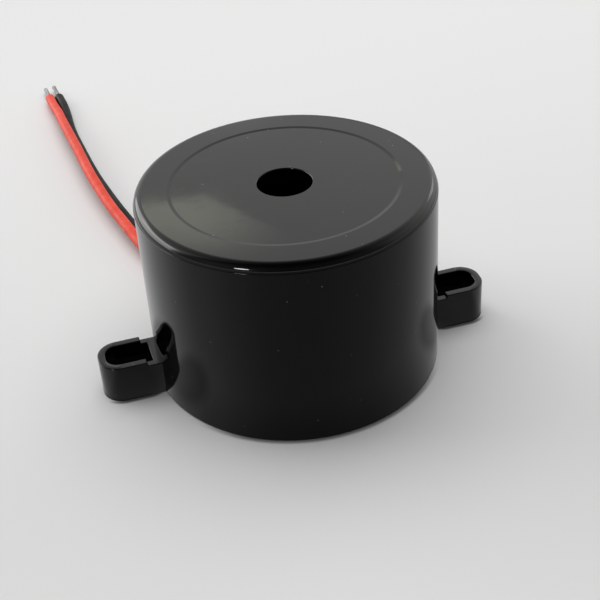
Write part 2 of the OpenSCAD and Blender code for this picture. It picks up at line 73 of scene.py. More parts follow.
def add_camera():
    back = Vector((
        math.sin(VIEW_AZIMUTH) * math.cos(VIEW_ELEVATION),
        -math.cos(VIEW_AZIMUTH) * math.cos(VIEW_ELEVATION),
        math.sin(VIEW_ELEVATION),
    ))
    level_right = (-back).cross(Vector((0, 0, 1))).normalized()
    level_up = level_right.cross(-back)
    right = math.cos(VIEW_ROLL) * level_right + math.sin(VIEW_ROLL) * level_up
    up = math.cos(VIEW_ROLL) * level_up - math.sin(VIEW_ROLL) * level_right
    place = Vector((0, 0, AIM_HEIGHT)) + AIM_RIGHT * right + AIM_UP * up + VIEW_DISTANCE * back
    camera_data = bpy.data.cameras.new("photo_camera")
    camera_data.lens = LENS
    camera_data.clip_start = CLIP_START
    camera = bpy.data.objects.new("photo_camera", camera_data)
    turn = Matrix((right, up, back)).transposed().to_4x4()
    camera.matrix_world = Matrix.Translation(place) @ turn
    bpy.context.scene.collection.objects.link(camera)
    bpy.context.scene.camera = camera
    return camera


camera = add_camera()
print("camera distance in mm:", round(VIEW_DISTANCE / MM, 1))

# %% [markdown]
# ## The leads
# Two stiff plastic-covered wires leave the can through a notch in its rim. They lie loosely side by side, and
# the red one soon leans on the black one. A cord like this is best a curve: its points are the route, its
# bevel depth is the radius, and the round section follows by itself. The handles are automatic, so the line
# stays smooth through every point.

# %% Routes of the leads
CAN_RADIUS = 15.0
LEAD_RADIUS = 0.675
LEAD_PITCH = 1.6
LEAD_ANGLE = math.radians(120)
LEAD_IN_RADIUS = 9.0
LEAD_IN_HEIGHT = 2.025
LEAD_WALL_RADIUS = CAN_RADIUS + 0.3
LEAD_LAND_RADIUS = CAN_RADIUS + 0.6
RED_LANE = -1
BLACK_LANE = 1
# Loose stretch of each lead in millimetres: x, y and the height of its underside above the floor
RED_ROUTE = [
    (-9.2, 14.6, 0.02), (-10.2, 17.2, 0.1), (-11.2, 20.3, 0.4), (-12.1, 23.7, 0.7), (-12.9, 27.1, 0.9),
    (-13.6, 30.6, 0.95), (-14.25, 33.8, 1.0), (-14.8, 37.1, 1.1), (-15.25, 40.4, 1.2), (-15.65, 43.8, 1.24),
    (-15.95, 47.4, 1.25), (-16.2, 50.8, 1.25), (-16.5, 54.2, 1.25), (-16.8, 57.6, 1.22), (-17.05, 61, 1.1),
    (-17.2, 64.2, 0.8), (-17.5, 67.5, 0.45), (-17.7, 70.8, 0.2),
]
BLACK_ROUTE = [
    (-7.9, 15.3, 0.01), (-8.9, 17.7, 0.01), (-9.8, 20.7, 0.01), (-10.8, 24, 0.01), (-11.8, 27.3, 0.01),
    (-12.5, 30.8, 0.01), (-13.15, 34, 0.01), (-13.75, 37.3, 0.01), (-14.3, 40.7, 0.01), (-14.8, 44.1, 0.01),
    (-15.2, 47.7, 0.01), (-15.5, 51.1, 0.01), (-15.78, 54.5, 0.01), (-16.03, 57.9, 0.01), (-16.1, 61.3, 0.01),
    (-16.05, 64.5, 0.01), (-16.1, 67.7, 0.01), (-16.35, 70.9, 0.01),
]


def lead_point(radius, height, lane):
    out = Vector((math.cos(LEAD_ANGLE), math.sin(LEAD_ANGLE), 0))
    side = Vector((math.sin(LEAD_ANGLE), -math.cos(LEAD_ANGLE), 0))
    return (out * radius + side * lane * LEAD_PITCH / 2 + Vector((0, 0, height))) * MM


def run_height(radius):
    share = (radius - LEAD_IN_RADIUS) / (LEAD_LAND_RADIUS - LEAD_IN_RADIUS)
    return LEAD_IN_HEIGHT + (LEAD_RADIUS - LEAD_IN_HEIGHT) * share


def lead_path(lane, route):
    radii = (LEAD_IN_RADIUS, LEAD_WALL_RADIUS, LEAD_LAND_RADIUS)
    inside = [lead_point(radius, run_height(radius), lane) for radius in radii]
    return inside + [Vector((x, y, z + LEAD_RADIUS)) * MM for x, y, z in route]


def path_length(points):
    return sum((b - a).length for a, b in zip(points, points[1:]))


print("red lead in mm:", round(path_length(lead_path(RED_LANE, RED_ROUTE)) / MM, 1))

# %% [markdown]
# Each route is now made into a curve. A Bezier curve is added at the origin, gets as many points as the route
# has, and every point goes to its place. Thickness comes in two parts: the curve's bevel depth is one metre,
# and each point's own radius scales it down to the lead's. Set that way round, the curve's box stays as small
# as the lead is. An operator acts on all that is selected, so everything is deselected first, here and in
# every later step.

# %% Curves of the leads
BEVEL_DEPTH = 1.0
BEVEL_ROUNDNESS = 7
STEPS_BETWEEN_POINTS = 8


def deselect_all():
    if bpy.context.mode != "OBJECT":
        bpy.ops.object.mode_set(mode="OBJECT")
    bpy.ops.object.select_all(action="DESELECT")


def add_wire(name, path, radius):
    deselect_all()
    bpy.ops.curve.primitive_bezier_curve_add(radius=radius * MM, location=(0, 0, 0))
    wire = bpy.context.object
    wire.name = name
    spline = wire.data.splines[0]
    spline.bezier_points.add(len(path) - len(spline.bezier_points))
    for point, place in zip(spline.bezier_points, path):
        point.co = place
        point.radius = radius * MM
        point.handle_left_type = "AUTO"
        point.handle_right_type = "AUTO"
    wire.data.dimensions = "3D"
    wire.data.bevel_depth = BEVEL_DEPTH
    wire.data.bevel_resolution = BEVEL_ROUNDNESS
    wire.data.resolution_u = STEPS_BETWEEN_POINTS
    wire.data.use_fill_caps = True
    return wire


red_path = lead_path(RED_LANE, RED_ROUTE)
black_path = lead_path(BLACK_LANE, BLACK_ROUTE)
red_insulation = add_wire("red_insulation", red_path, LEAD_RADIUS)
black_insulation = add_wire("black_insulation", black_path, LEAD_RADIUS)
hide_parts("red_lead")
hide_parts("black_lead")
for lead in (red_insulation, black_insulation):
    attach(lead, "root")

# %% [markdown]
# The stripped end is seven fine tinned strands, one in the middle and six laid round it with a twist. Each
# strand is a thin curve of its own, and all seven are turned into one mesh.

# %% Stripped ends
TIP_LENGTH = 3.98
TIP_OVERLAP = 0.3
STRAND_RADIUS = 0.1
STRAND_RING = 0.205
STRANDS_ROUND = 6
STRAND_STEPS = 8
STRAND_SMOOTHING = math.radians(40)
LAY_LENGTH = 7.0


def strand_path(path, ring, phase):
    way = (path[-1] - path[-2]).normalized()
    side = way.cross(Vector((0, 0, 1))).normalized()
    up = side.cross(way)
    points = []
    for i in range(STRAND_STEPS + 1):
        along = -TIP_OVERLAP + (TIP_LENGTH + TIP_OVERLAP) * i / STRAND_STEPS
        turn = phase + math.tau * along / LAY_LENGTH
        points.append(path[-1] + (way * along + (side * math.cos(turn) + up * math.sin(turn)) * ring) * MM)
    return points


def add_stripped_end(name, path):
    strands = [add_wire(name, strand_path(path, 0, 0), STRAND_RADIUS)]
    for i in range(STRANDS_ROUND):
        phase = math.tau * i / STRANDS_ROUND
        strands.append(add_wire(name, strand_path(path, STRAND_RING, phase), STRAND_RADIUS))
    deselect_all()
    for strand in strands:
        strand.select_set(True)
    bpy.context.view_layer.objects.active = strands[0]
    bpy.ops.object.convert(target="MESH")
    bpy.ops.object.join()
    end = bpy.context.object
    bpy.ops.object.shade_smooth_by_angle(angle=STRAND_SMOOTHING)
    end.name = name
    return end


red_strands = add_stripped_end("red_strands", red_path)
black_strands = add_stripped_end("black_strands", black_path)
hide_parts("red_lead_tip")
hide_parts("black_lead_tip")
for lead, strands, lane in (
    (red_insulation, red_strands, RED_LANE), (black_insulation, black_strands, BLACK_LANE),
):
    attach(strands, "root")
print("strands in each stripped end:", STRANDS_ROUND + 1)

# %% [markdown]
# ## The can
# The housing is one glossy moulding: a cup upside down, with a sound hole, a shallow dish in its face, a fine
# mould line at the foot of the rounded edge, and an ear on each side. A turned shape like this could be spun
# from a profile. Here it grows from a plain cylinder: its top face is extruded and scaled ring by ring, over
# the edge, down through the sound hole and out along the inside, as if the inside were turned on a lathe.
# Each ring is given as its radius and its height.

# %% Rings of the can
CAN_SIDES = 256
CAN_HEIGHT = 20.5
SHOULDER_HEIGHT = 19.6
MOULD_LINE = 0.06
DISH_RADIUS = 11.6
DISH_DEPTH = 0.05
DISH_SLOPE = 0.35
SOUND_HOLE_RADIUS = 2.75
PLATE_UNDERSIDE = 19.0
LEDGE_HEIGHT = 16.0
BORE_RADIUS = 13.6
SEAT_HEIGHT = 4.8
RIM_BORE_RADIUS = 14.1
FACING = 0.9
RINGS = [
    (CAN_RADIUS - MOULD_LINE, SHOULDER_HEIGHT),
    (CAN_RADIUS - MOULD_LINE, CAN_HEIGHT),
    (DISH_RADIUS, CAN_HEIGHT),
    (DISH_RADIUS - DISH_SLOPE, CAN_HEIGHT - DISH_DEPTH),
    (SOUND_HOLE_RADIUS, CAN_HEIGHT - DISH_DEPTH),
    (SOUND_HOLE_RADIUS, PLATE_UNDERSIDE),
    (DISH_RADIUS, PLATE_UNDERSIDE),
    (DISH_RADIUS, LEDGE_HEIGHT),
    (BORE_RADIUS, LEDGE_HEIGHT),
    (BORE_RADIUS, SEAT_HEIGHT),
    (RIM_BORE_RADIUS, SEAT_HEIGHT),
    (RIM_BORE_RADIUS, 0.0),
]


def select_parts(piece, mode, wanted):
    bpy.ops.mesh.select_mode(type=mode)
    bpy.ops.mesh.select_all(action="DESELECT")
    mesh = bmesh.from_edit_mesh(piece.data)
    chosen = [part for part in (mesh.faces if mode == "FACE" else mesh.edges) if wanted(part)]
    for part in chosen:
        part.select = True
    bmesh.update_edit_mesh(piece.data)
    return len(chosen)


def select_faces(piece, wanted):
    return select_parts(piece, "FACE", wanted)


def select_edges(piece, wanted):
    return select_parts(piece, "EDGE", lambda edge: wanted(*(corner.co / MM for corner in edge.verts)))


def add_can():
    deselect_all()
    bpy.ops.mesh.primitive_cylinder_add(
        vertices=CAN_SIDES, radius=CAN_RADIUS * MM, depth=SHOULDER_HEIGHT * MM,
        location=(0, 0, SHOULDER_HEIGHT / 2 * MM),
    )
    can = bpy.context.object
    bpy.ops.object.transform_apply(location=True)
    bpy.ops.object.mode_set(mode="EDIT")
    select_faces(can, lambda face: face.normal.z > FACING)
    radius, height = CAN_RADIUS, SHOULDER_HEIGHT
    for next_radius, next_height in RINGS:
        lift = (0, 0, (next_height - height) * MM)
        bpy.ops.mesh.extrude_region_move(TRANSFORM_OT_translate={"value": lift})
        share = next_radius / radius
        if share != 1:
            bpy.ops.transform.resize(value=(share, share, 1), center_override=(0, 0, next_height * MM))
        radius, height = next_radius, next_height
    caps = select_faces(can, lambda face: len(face.verts) == CAN_SIDES)
    bpy.ops.mesh.bridge_edge_loops()
    print("rings turned:", len(RINGS), "caps bridged:", caps)
    return can


can = add_can()

# %% [markdown]
# Real mouldings have no sharp outer edges. The top edge gets its large radius, and the foot and the mouth of
# the sound hole get small ones. Each is a whole ring of edges, chosen by its radius and height.

# %% Rounded edges
TOP_EDGE_RADIUS = 0.88
MOULD_LINE_RADIUS = 0.05
FOOT_RADIUS = 0.2
HOLE_EDGE_RADIUS = 0.1
TOP_EDGE_SEGMENTS = 12
SMALL_EDGE_SEGMENTS = 3
TOLERANCE = 0.01


def on_ring(radius, height):
    def wanted(a, b):
        return all(
            abs(math.hypot(p.x, p.y) - radius) < TOLERANCE and abs(p.z - height) < TOLERANCE for p in (a, b)
        )
    return wanted


for ring_radius, ring_height, edge_radius, segments in (
    (CAN_RADIUS - MOULD_LINE, CAN_HEIGHT, TOP_EDGE_RADIUS, TOP_EDGE_SEGMENTS),
    (CAN_RADIUS, SHOULDER_HEIGHT, MOULD_LINE_RADIUS, SMALL_EDGE_SEGMENTS),
    (CAN_RADIUS, 0.0, FOOT_RADIUS, SMALL_EDGE_SEGMENTS),
    (SOUND_HOLE_RADIUS, CAN_HEIGHT - DISH_DEPTH, HOLE_EDGE_RADIUS, SMALL_EDGE_SEGMENTS),
):
    found = select_edges(can, on_ring(ring_radius, ring_height))
    bpy.ops.mesh.bevel(offset=edge_radius * MM, segments=segments, affect="EDGES")
    print("edges rounded:", found, "at radius", ring_radius)
bpy.ops.object.mode_set(mode="OBJECT")

# %% [markdown]
# ## The ears
# Each ear is a thin upright wall bent into a U, with a slot for a screw. It starts as a block, and two more
# blocks cut the root of the ear and the notch for the leads. So a block at its place, a cut with a boolean
# and a turn about the upright axis each get a helper. A block's place and a piece's turn are applied to the
# mesh, so that every object's own origin stays at the middle of the can.

# %% Blocks, cuts and turns
def select_only(piece):
    deselect_all()
    piece.select_set(True)
    bpy.context.view_layer.objects.active = piece


def add_block(name, low, high):
    deselect_all()
    middle = [(a + b) / 2 * MM for a, b in zip(low, high)]
    spans = [(b - a) * MM for a, b in zip(low, high)]
    bpy.ops.mesh.primitive_cube_add(size=1, location=middle, scale=spans)
    block = bpy.context.object
    block.name = name
    bpy.ops.object.transform_apply(location=True, rotation=False, scale=True)
    return block


def cut(piece, tool, operation="DIFFERENCE"):
    step = piece.modifiers.new("cut", "BOOLEAN")
    step.operation = operation
    step.solver = "EXACT"
    step.object = tool
    select_only(piece)
    bpy.ops.object.modifier_apply(modifier=step.name)
    bpy.data.objects.remove(tool)


def turn(piece, angle):
    select_only(piece)
    piece.rotation_euler.z = angle
    bpy.ops.object.transform_apply(location=False, rotation=True, scale=False)


print("faces in the can so far:", len(can.data.polygons))

# %% [markdown]
# The block's two outer corners are rounded. Then its top and bottom faces are inset by the wall, and bridging
# those two inner faces opens the slot. The root next to the can lies a little lower than the rim, so a small
# box is cut away there. The left ear is the right one, copied and turned by half a turn.

# %% Ears
EAR_SPAN = 42.0
EAR_WIDTH = 4.8
EAR_HEIGHT = 4.2
EAR_WALL = 0.8
EAR_CORNER_RADIUS = 2.1
EAR_CORNER_SEGMENTS = 10
EAR_FROM = 14.4
EAR_SLOT_FROM = 15.6
EAR_SLOT_REACH = 1.5
EAR_ROOT_TO = 16.3
EAR_ROOT_DROP = 0.4
EAR_EDGE = 0.1
EAR_SHARP_ANGLE = math.radians(50)
LONG_EDGE = 1.0
TOOL_MARGIN = 1.0


def is_level(face):
    return abs(face.normal.z) > FACING


def add_ear():
    tip = EAR_SPAN / 2
    ear = add_block("ear", (EAR_FROM, -EAR_WIDTH / 2, 0), (tip, EAR_WIDTH / 2, EAR_HEIGHT))
    bpy.ops.object.mode_set(mode="EDIT")
    select_edges(ear, lambda a, b: min(a.x, b.x) > tip - TOLERANCE and abs(a.z - b.z) > LONG_EDGE)
    bpy.ops.mesh.bevel(offset=EAR_CORNER_RADIUS * MM, segments=EAR_CORNER_SEGMENTS, affect="EDGES")
    select_faces(ear, is_level)
    bpy.ops.mesh.inset(thickness=EAR_WALL * MM, use_individual=True)
    inner_end = EAR_FROM + EAR_WALL
    select_edges(ear, lambda a, b: max(abs(a.x - inner_end), abs(b.x - inner_end)) < TOLERANCE)
    bpy.ops.transform.translate(value=((EAR_SLOT_FROM - inner_end) * MM, 0, 0))
    slot_middle = Vector((EAR_SLOT_FROM + tip, 0)) / 2
    walls = select_faces(ear, lambda face: is_level(face) and (
        face.calc_center_median().xy / MM - slot_middle).length < EAR_SLOT_REACH)
    bpy.ops.mesh.bridge_edge_loops()
    bpy.ops.object.mode_set(mode="OBJECT")
    root_low = (EAR_FROM - TOOL_MARGIN, -EAR_WIDTH, EAR_HEIGHT - EAR_ROOT_DROP)
    cut(ear, add_block("root_cut", root_low, (EAR_ROOT_TO, EAR_WIDTH, EAR_HEIGHT + TOOL_MARGIN)))
    rounding = ear.modifiers.new("rounding", "BEVEL")
    rounding.width = EAR_EDGE * MM
    rounding.segments = SMALL_EDGE_SEGMENTS
    rounding.limit_method = "ANGLE"
    rounding.angle_limit = EAR_SHARP_ANGLE
    bpy.ops.object.modifier_apply(modifier=rounding.name)
    print("slot faces bridged:", walls, "faces in the ear:", len(ear.data.polygons))
    return ear


right_ear = add_ear()
select_only(right_ear)
bpy.ops.object.duplicate()
left_ear = bpy.context.object
turn(left_ear, math.pi)

# %% [markdown]
# Now the ears are welded to the can with a boolean union, because the real part is one shot of plastic, and
# the notch where the leads leave is cut from the rim. The notch tool is a block with two rounded edges,
# turned to the side where the leads are.
# A boolean can leave needle-thin faces where two surfaces nearly touch, so corners that are a thousandth of a
# millimetre apart are merged, and what collapsed is dissolved.
# Shading comes last. Smoothing by angle keeps the true corners, and weighted normals keep the wide flat face
# flat, so that it mirrors the light evenly up to its rounded edge.

# %% Join, notch and shading
NOTCH_GAP = 0.15
NOTCH_WIDTH = LEAD_PITCH + 2 * LEAD_RADIUS + 2 * NOTCH_GAP
NOTCH_HEIGHT = run_height(RIM_BORE_RADIUS) + LEAD_RADIUS + NOTCH_GAP
NOTCH_CORNER = 0.5
NOTCH_CORNER_SEGMENTS = 6
WELD = 0.001
CAN_SMOOTHING = math.radians(30)
WIDE_FACE_WEIGHT = 100
notch_tool = add_block(
    "notch_tool", (BORE_RADIUS, -NOTCH_WIDTH / 2, -TOOL_MARGIN),
    (CAN_RADIUS + TOOL_MARGIN, NOTCH_WIDTH / 2, NOTCH_HEIGHT),
)
bpy.ops.object.mode_set(mode="EDIT")
select_edges(
    notch_tool, lambda a, b: min(a.z, b.z) > NOTCH_HEIGHT - TOLERANCE and abs(a.x - b.x) > LONG_EDGE)
bpy.ops.mesh.bevel(offset=NOTCH_CORNER * MM, segments=NOTCH_CORNER_SEGMENTS, affect="EDGES")
turn(notch_tool, LEAD_ANGLE)

cut(can, right_ear, "UNION")
cut(can, left_ear, "UNION")
cut(can, notch_tool)
can.name = "housing_moulding"
bpy.ops.object.mode_set(mode="EDIT")
bpy.ops.mesh.select_all(action="SELECT")
bpy.ops.mesh.remove_doubles(threshold=WELD * MM)
bpy.ops.mesh.dissolve_degenerate(threshold=WELD * MM)
bpy.ops.object.mode_set(mode="OBJECT")
bpy.ops.object.shade_smooth_by_angle(angle=CAN_SMOOTHING)
bpy.ops.object.mode_set(mode="EDIT")
print("open edges:", sum(not edge.is_manifold for edge in bmesh.from_edit_mesh(can.data).edges))
for ring_radius, ring_height in (
    (DISH_RADIUS, CAN_HEIGHT), (DISH_RADIUS - DISH_SLOPE, CAN_HEIGHT - DISH_DEPTH),
):
    select_edges(can, on_ring(ring_radius, ring_height))
    bpy.ops.mesh.mark_sharp()
bpy.ops.object.mode_set(mode="OBJECT")
weighting = can.modifiers.new("weighting", "WEIGHTED_NORMAL")
weighting.keep_sharp = True
weighting.weight = WIDE_FACE_WEIGHT
bpy.ops.object.modifier_apply(modifier=weighting.name)
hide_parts("housing")
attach(can, "root")
print("faces in the housing:", len(can.data.polygons))

# %% [markdown]
# ## Shared effects
# Several finishes need the same small effects: fine grain, soft colour mottling, patchy gloss, dust and hair
# scratches. They are built from a few kinds of node, so each kind gets a short helper, which adds the node,
# feeds its inputs and gives back its output. Patterns read Object coordinates, brought to millimetres first,
# so that a scale of 2 means two features in a millimetre.

# %% Node helpers
def rgb(red, green, blue):
    return (red, green, blue, 1.0)


def grey(level):
    return rgb(level, level, level)


def in_metres(lengths):
    return [length * MM for length in lengths]


def feed(tree, value, socket):
    if isinstance(value, bpy.types.NodeSocket):
        tree.links.new(value, socket)
    else:
        socket.default_value = value


def add_place(tree):
    return tree.nodes.new("ShaderNodeTexCoord").outputs["Object"]


def in_millimetres(tree, stretch=(1, 1, 1), turn=(0, 0, 0)):
    mapping = tree.nodes.new("ShaderNodeMapping")
    mapping.inputs["Scale"].default_value = [s / MM for s in stretch]
    mapping.inputs["Rotation"].default_value = turn
    tree.links.new(add_place(tree), mapping.inputs["Vector"])
    return mapping.outputs["Vector"]


def add_split(tree, vector):
    split = tree.nodes.new("ShaderNodeSeparateXYZ")
    tree.links.new(vector, split.inputs["Vector"])
    return split.outputs


def add_noise(tree, place, scale, detail=3.0, roughness=0.55):
    noise = tree.nodes.new("ShaderNodeTexNoise")
    noise.inputs["Detail"].default_value = detail
    noise.inputs["Roughness"].default_value = roughness
    tree.links.new(place, noise.inputs["Vector"])
    feed(tree, scale, noise.inputs["Scale"])
    return noise.outputs["Fac"]


def add_range(tree, value, from_low, from_high, to_low, to_high, blend="SMOOTHSTEP"):
    ranger = tree.nodes.new("ShaderNodeMapRange")
    ranger.interpolation_type = blend
    for socket, setting in zip(ranger.inputs, (value, from_low, from_high, to_low, to_high)):
        feed(tree, setting, socket)
    return ranger.outputs["Result"]


def add_math(tree, operation, a, b=0.0):
    step = tree.nodes.new("ShaderNodeMath")
    step.operation = operation
    feed(tree, a, step.inputs[0])
    feed(tree, b, step.inputs[1])
    return step.outputs["Value"]


def add_mix(tree, share, a, b, blend="MIX"):
    mix = tree.nodes.new("ShaderNodeMix")
    mix.data_type = "RGBA"
    mix.blend_type = blend
    feed(tree, share, mix.inputs["Factor"])
    feed(tree, a, mix.inputs["A"])
    feed(tree, b, mix.inputs["B"])
    return mix.outputs["Result"]


print("grey of 0.5:", grey(0.5))

# %% [markdown]
# Each effect is a node group that is built once. A group gives out only a colour, a mask, a value or a
# height, and the shader stays in the material. Grain is plain noise. Mottle mixes two colours by noise, and
# patches turn noise into a range of roughness.

# %% Grain, mottle and patches
MOTTLE_SPREAD = (0.32, 0.68)
PATCH_SPREAD = (0.3, 0.7)


def new_effect(name, inputs, outputs):
    effect = bpy.data.node_groups.new(name, "ShaderNodeTree")
    for socket_name, kind, value in inputs:
        socket = effect.interface.new_socket(
            name=socket_name, in_out="INPUT", socket_type="NodeSocket" + kind)
        socket.default_value = value
    for socket_name, kind in outputs:
        effect.interface.new_socket(name=socket_name, in_out="OUTPUT", socket_type="NodeSocket" + kind)
    ends = effect.nodes.new("NodeGroupInput"), effect.nodes.new("NodeGroupOutput")
    return effect, ends[0].outputs, ends[1].inputs


def make_grain():
    effect, given, made = new_effect("fine_grain", [("Scale", "Float", 2.0)], [("Height", "Float")])
    effect.links.new(add_noise(effect, in_millimetres(effect), given["Scale"]), made["Height"])
    return effect


def make_mottle():
    effect, given, made = new_effect(
        "colour_mottle",
        [("Scale", "Float", 1.0), ("Colour A", "Color", grey(0)), ("Colour B", "Color", grey(1))],
        [("Colour", "Color")],
    )
    noise = add_noise(effect, in_millimetres(effect), given["Scale"], detail=4)
    share = add_range(effect, noise, *MOTTLE_SPREAD, 0.0, 1.0)
    effect.links.new(add_mix(effect, share, given["Colour A"], given["Colour B"]), made["Colour"])
    return effect


def make_patches():
    effect, given, made = new_effect(
        "gloss_patches", [("Scale", "Float", 0.3), ("Low", "Float", 0.1), ("High", "Float", 0.2)],
        [("Roughness", "Float")],
    )
    noise = add_noise(effect, in_millimetres(effect), given["Scale"], detail=5)
    gloss = add_range(effect, noise, *PATCH_SPREAD, given["Low"], given["High"])
    effect.links.new(gloss, made["Roughness"])
    return effect


EFFECTS = {"grain": make_grain(), "mottle": make_mottle(), "patches": make_patches()}
print("effects:", ", ".join(EFFECTS))

# %% [markdown]
# Dust keeps only the middle of a few random cells, so that specks lie far apart. Hair scratches are noise
# stretched so far in one direction that only thin streaks are left. They run three ways, and a second, broad
# noise breaks them up.

# %% Dust and scratches
# Each run of scratches: how far the noise is stretched along X, Y and Z, and its turn about Z
SCRATCH_RUNS = (((0.04, 2.5, 0.5), 0.6), ((0.04, 2.5, 0.5), -0.9), ((0.05, 3.0, 0.5), 2.1))
SCRATCH_WIDTH = 0.012
SCRATCH_BREAK_SCALE = 0.35
SCRATCH_BREAKS = (0.5, 0.62)
NOISE_MIDDLE = 0.5


def make_dust():
    effect, given, made = new_effect(
        "dust_specks", [("Scale", "Float", 1.0), ("Size", "Float", 0.1), ("Amount", "Float", 0.1)],
        [("Mask", "Float")],
    )
    cells = effect.nodes.new("ShaderNodeTexVoronoi")
    effect.links.new(in_millimetres(effect), cells.inputs["Vector"])
    effect.links.new(given["Scale"], cells.inputs["Scale"])
    speck = add_range(effect, cells.outputs["Distance"], 0.0, given["Size"], 1.0, 0.0)
    channels = effect.nodes.new("ShaderNodeSeparateColor")
    effect.links.new(cells.outputs["Color"], channels.inputs["Color"])
    chosen = add_math(effect, "LESS_THAN", channels.outputs["Red"], given["Amount"])
    effect.links.new(add_math(effect, "MULTIPLY", speck, chosen), made["Mask"])
    return effect


def make_scratches():
    effect, given, made = new_effect(
        "hair_scratches", [("Scale", "Float", 1.0), ("Amount", "Float", 0.5)], [("Mask", "Float")],
    )
    marks = 0.0
    for stretch, angle in SCRATCH_RUNS:
        place = in_millimetres(effect, stretch=stretch, turn=(0, 0, angle))
        streak = add_noise(effect, place, given["Scale"], detail=2)
        centred = add_math(effect, "ABSOLUTE", add_math(effect, "SUBTRACT", streak, NOISE_MIDDLE))
        marks = add_math(effect, "MAXIMUM", marks, add_range(effect, centred, 0.0, SCRATCH_WIDTH, 1.0, 0.0))
    broad = add_noise(effect, in_millimetres(effect), SCRATCH_BREAK_SCALE, detail=2)
    broken = add_range(effect, broad, *SCRATCH_BREAKS, 0.0, 1.0)
    kept = add_math(effect, "MULTIPLY", add_math(effect, "MULTIPLY", marks, broken), given["Amount"])
    effect.links.new(kept, made["Mask"])
    return effect


EFFECTS.update({"dust": make_dust(), "scratches": make_scratches()})
print("effects:", ", ".join(EFFECTS))

# %% [markdown]
# Every finish below is built alike: a material with one Principled shader, whose colour, roughness and bump
# each come from an effect. A small class keeps those few steps together, so that a material reads as a list
# of what the surface is like. Two bumps can be laid over each other: the first one's normal is handed to the
# second, coarse below and fine above. A solid of the frame keeps its slots and gets the material in each. A
# piece made here gets it as its only one.

# %% Helpers for a finish
class Finish:
    def __init__(self, name, metallic=0.0, ior=1.5):
        self.material = bpy.data.materials.new(name)
        self.material.use_nodes = True
        self.tree = self.material.node_tree
        self.shader = self.tree.nodes["Principled BSDF"]
        self.shader.inputs["Metallic"].default_value = metallic
        self.shader.inputs["IOR"].default_value = ior

    def effect(self, kind, **settings):
        group = self.tree.nodes.new("ShaderNodeGroup")
        group.node_tree = EFFECTS[kind]
        for name, value in settings.items():
            feed(self.tree, value, group.inputs[name.replace("_", " ")])
        return group.outputs[0]

    def colour(self, value):
        feed(self.tree, value, self.shader.inputs["Base Color"])

    def roughness(self, value):
        feed(self.tree, value, self.shader.inputs["Roughness"])

    def bump(self, height, depth, below=None):
        bump = self.tree.nodes.new("ShaderNodeBump")
        bump.inputs["Distance"].default_value = depth * MM
        self.tree.links.new(height, bump.inputs["Height"])
        if below:
            self.tree.links.new(below, bump.inputs["Normal"])
        self.tree.links.new(bump.outputs["Normal"], self.shader.inputs["Normal"])
        return bump.outputs["Normal"]


def dress(names, finish):
    for name in names:
        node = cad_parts[name]
        for holder in node.material_slots:
            holder.material = finish.material
        if not node.material_slots:
            node.data.materials.append(finish.material)


def dress_piece(piece, finish):
    piece.data.materials.clear()
    piece.data.materials.append(finish.material)


print("nodes in the frame to dress:", len(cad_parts))

# %% [markdown]
# ## The black moulding
# The can is black ABS from a polished mould: nearly no colour of its own, and a mirror-like skin that is
# never quite even. A little waviness bends the reflections, patches of handling change the gloss, and a few
# hair scratches and specks of dust catch the light.

# %% Black moulding
DUST_COLOUR = (0.3, 0.29, 0.27)
DUST_DULLNESS = 0.4
SCRATCH_DULLNESS = 0.2
WAVE_DEPTH = 0.002
GRAIN_DEPTH = 0.0001


def make_black_moulding():
    finish = Finish("black_moulding")
    tree = finish.tree
    dust = finish.effect("dust", Scale=0.9, Size=0.07, Amount=0.36)
    scratches = finish.effect("scratches", Scale=1.0, Amount=0.5)
    plastic = finish.effect("mottle", Scale=0.6, Colour_A=grey(0.0007), Colour_B=rgb(0.0013, 0.0013, 0.0012))
    finish.colour(add_mix(tree, dust, plastic, rgb(*DUST_COLOUR)))
    gloss = finish.effect("patches", Scale=0.22, Low=0.02, High=0.055)
    dulled = add_math(tree, "ADD", gloss, add_math(tree, "MULTIPLY", scratches, SCRATCH_DULLNESS))
    finish.roughness(add_math(tree, "ADD", dulled, add_math(tree, "MULTIPLY", dust, DUST_DULLNESS)))
    wave = finish.bump(finish.effect("grain", Scale=0.3), WAVE_DEPTH)
    finish.bump(finish.effect("grain", Scale=14.0), GRAIN_DEPTH, below=wave)
    return finish


black_moulding = make_black_moulding()
dress_piece(can, black_moulding)
print("moulding finished")

# %% [markdown]
# ## The leads' finish
# PVC insulation is a soft, satin plastic. Its colour is full but slightly cloudy, the extruder leaves it a
# little lumpy, and where fingers held it the gloss is patchy. The stripped strands are tinned copper: a grey
# metal, brighter on top of each strand and dull between them.

# %% Insulation and tinned wire
LINT_COLOUR = (0.5, 0.48, 0.45)
PVC_SPECULAR = 0.25
METAL_PATCHES = 1.4


def make_insulation(name, colour_a, colour_b, low, high):
    finish = Finish(name)
    lint = finish.effect("dust", Scale=1.6, Size=0.07, Amount=0.12)
    plastic = finish.effect("mottle", Scale=0.8, Colour_A=colour_a, Colour_B=colour_b)
    finish.colour(add_mix(finish.tree, lint, plastic, rgb(*LINT_COLOUR)))
    finish.roughness(finish.effect("patches", Scale=0.5, Low=low, High=high))
    finish.shader.inputs["Specular IOR Level"].default_value = PVC_SPECULAR
    lumps = finish.bump(finish.effect("grain", Scale=0.9), 0.02)
    finish.bump(finish.effect("grain", Scale=12.0), 0.0015, below=lumps)
    return finish


def make_metal(name, colour_a, colour_b, low, high, scale=1.5, grain=9.0, depth=0.002):
    finish = Finish(name, metallic=1.0)
    finish.colour(finish.effect("mottle", Scale=scale, Colour_A=colour_a, Colour_B=colour_b))
    finish.roughness(finish.effect("patches", Scale=scale * METAL_PATCHES, Low=low, High=high))
    finish.bump(finish.effect("grain", Scale=grain), depth)
    return finish


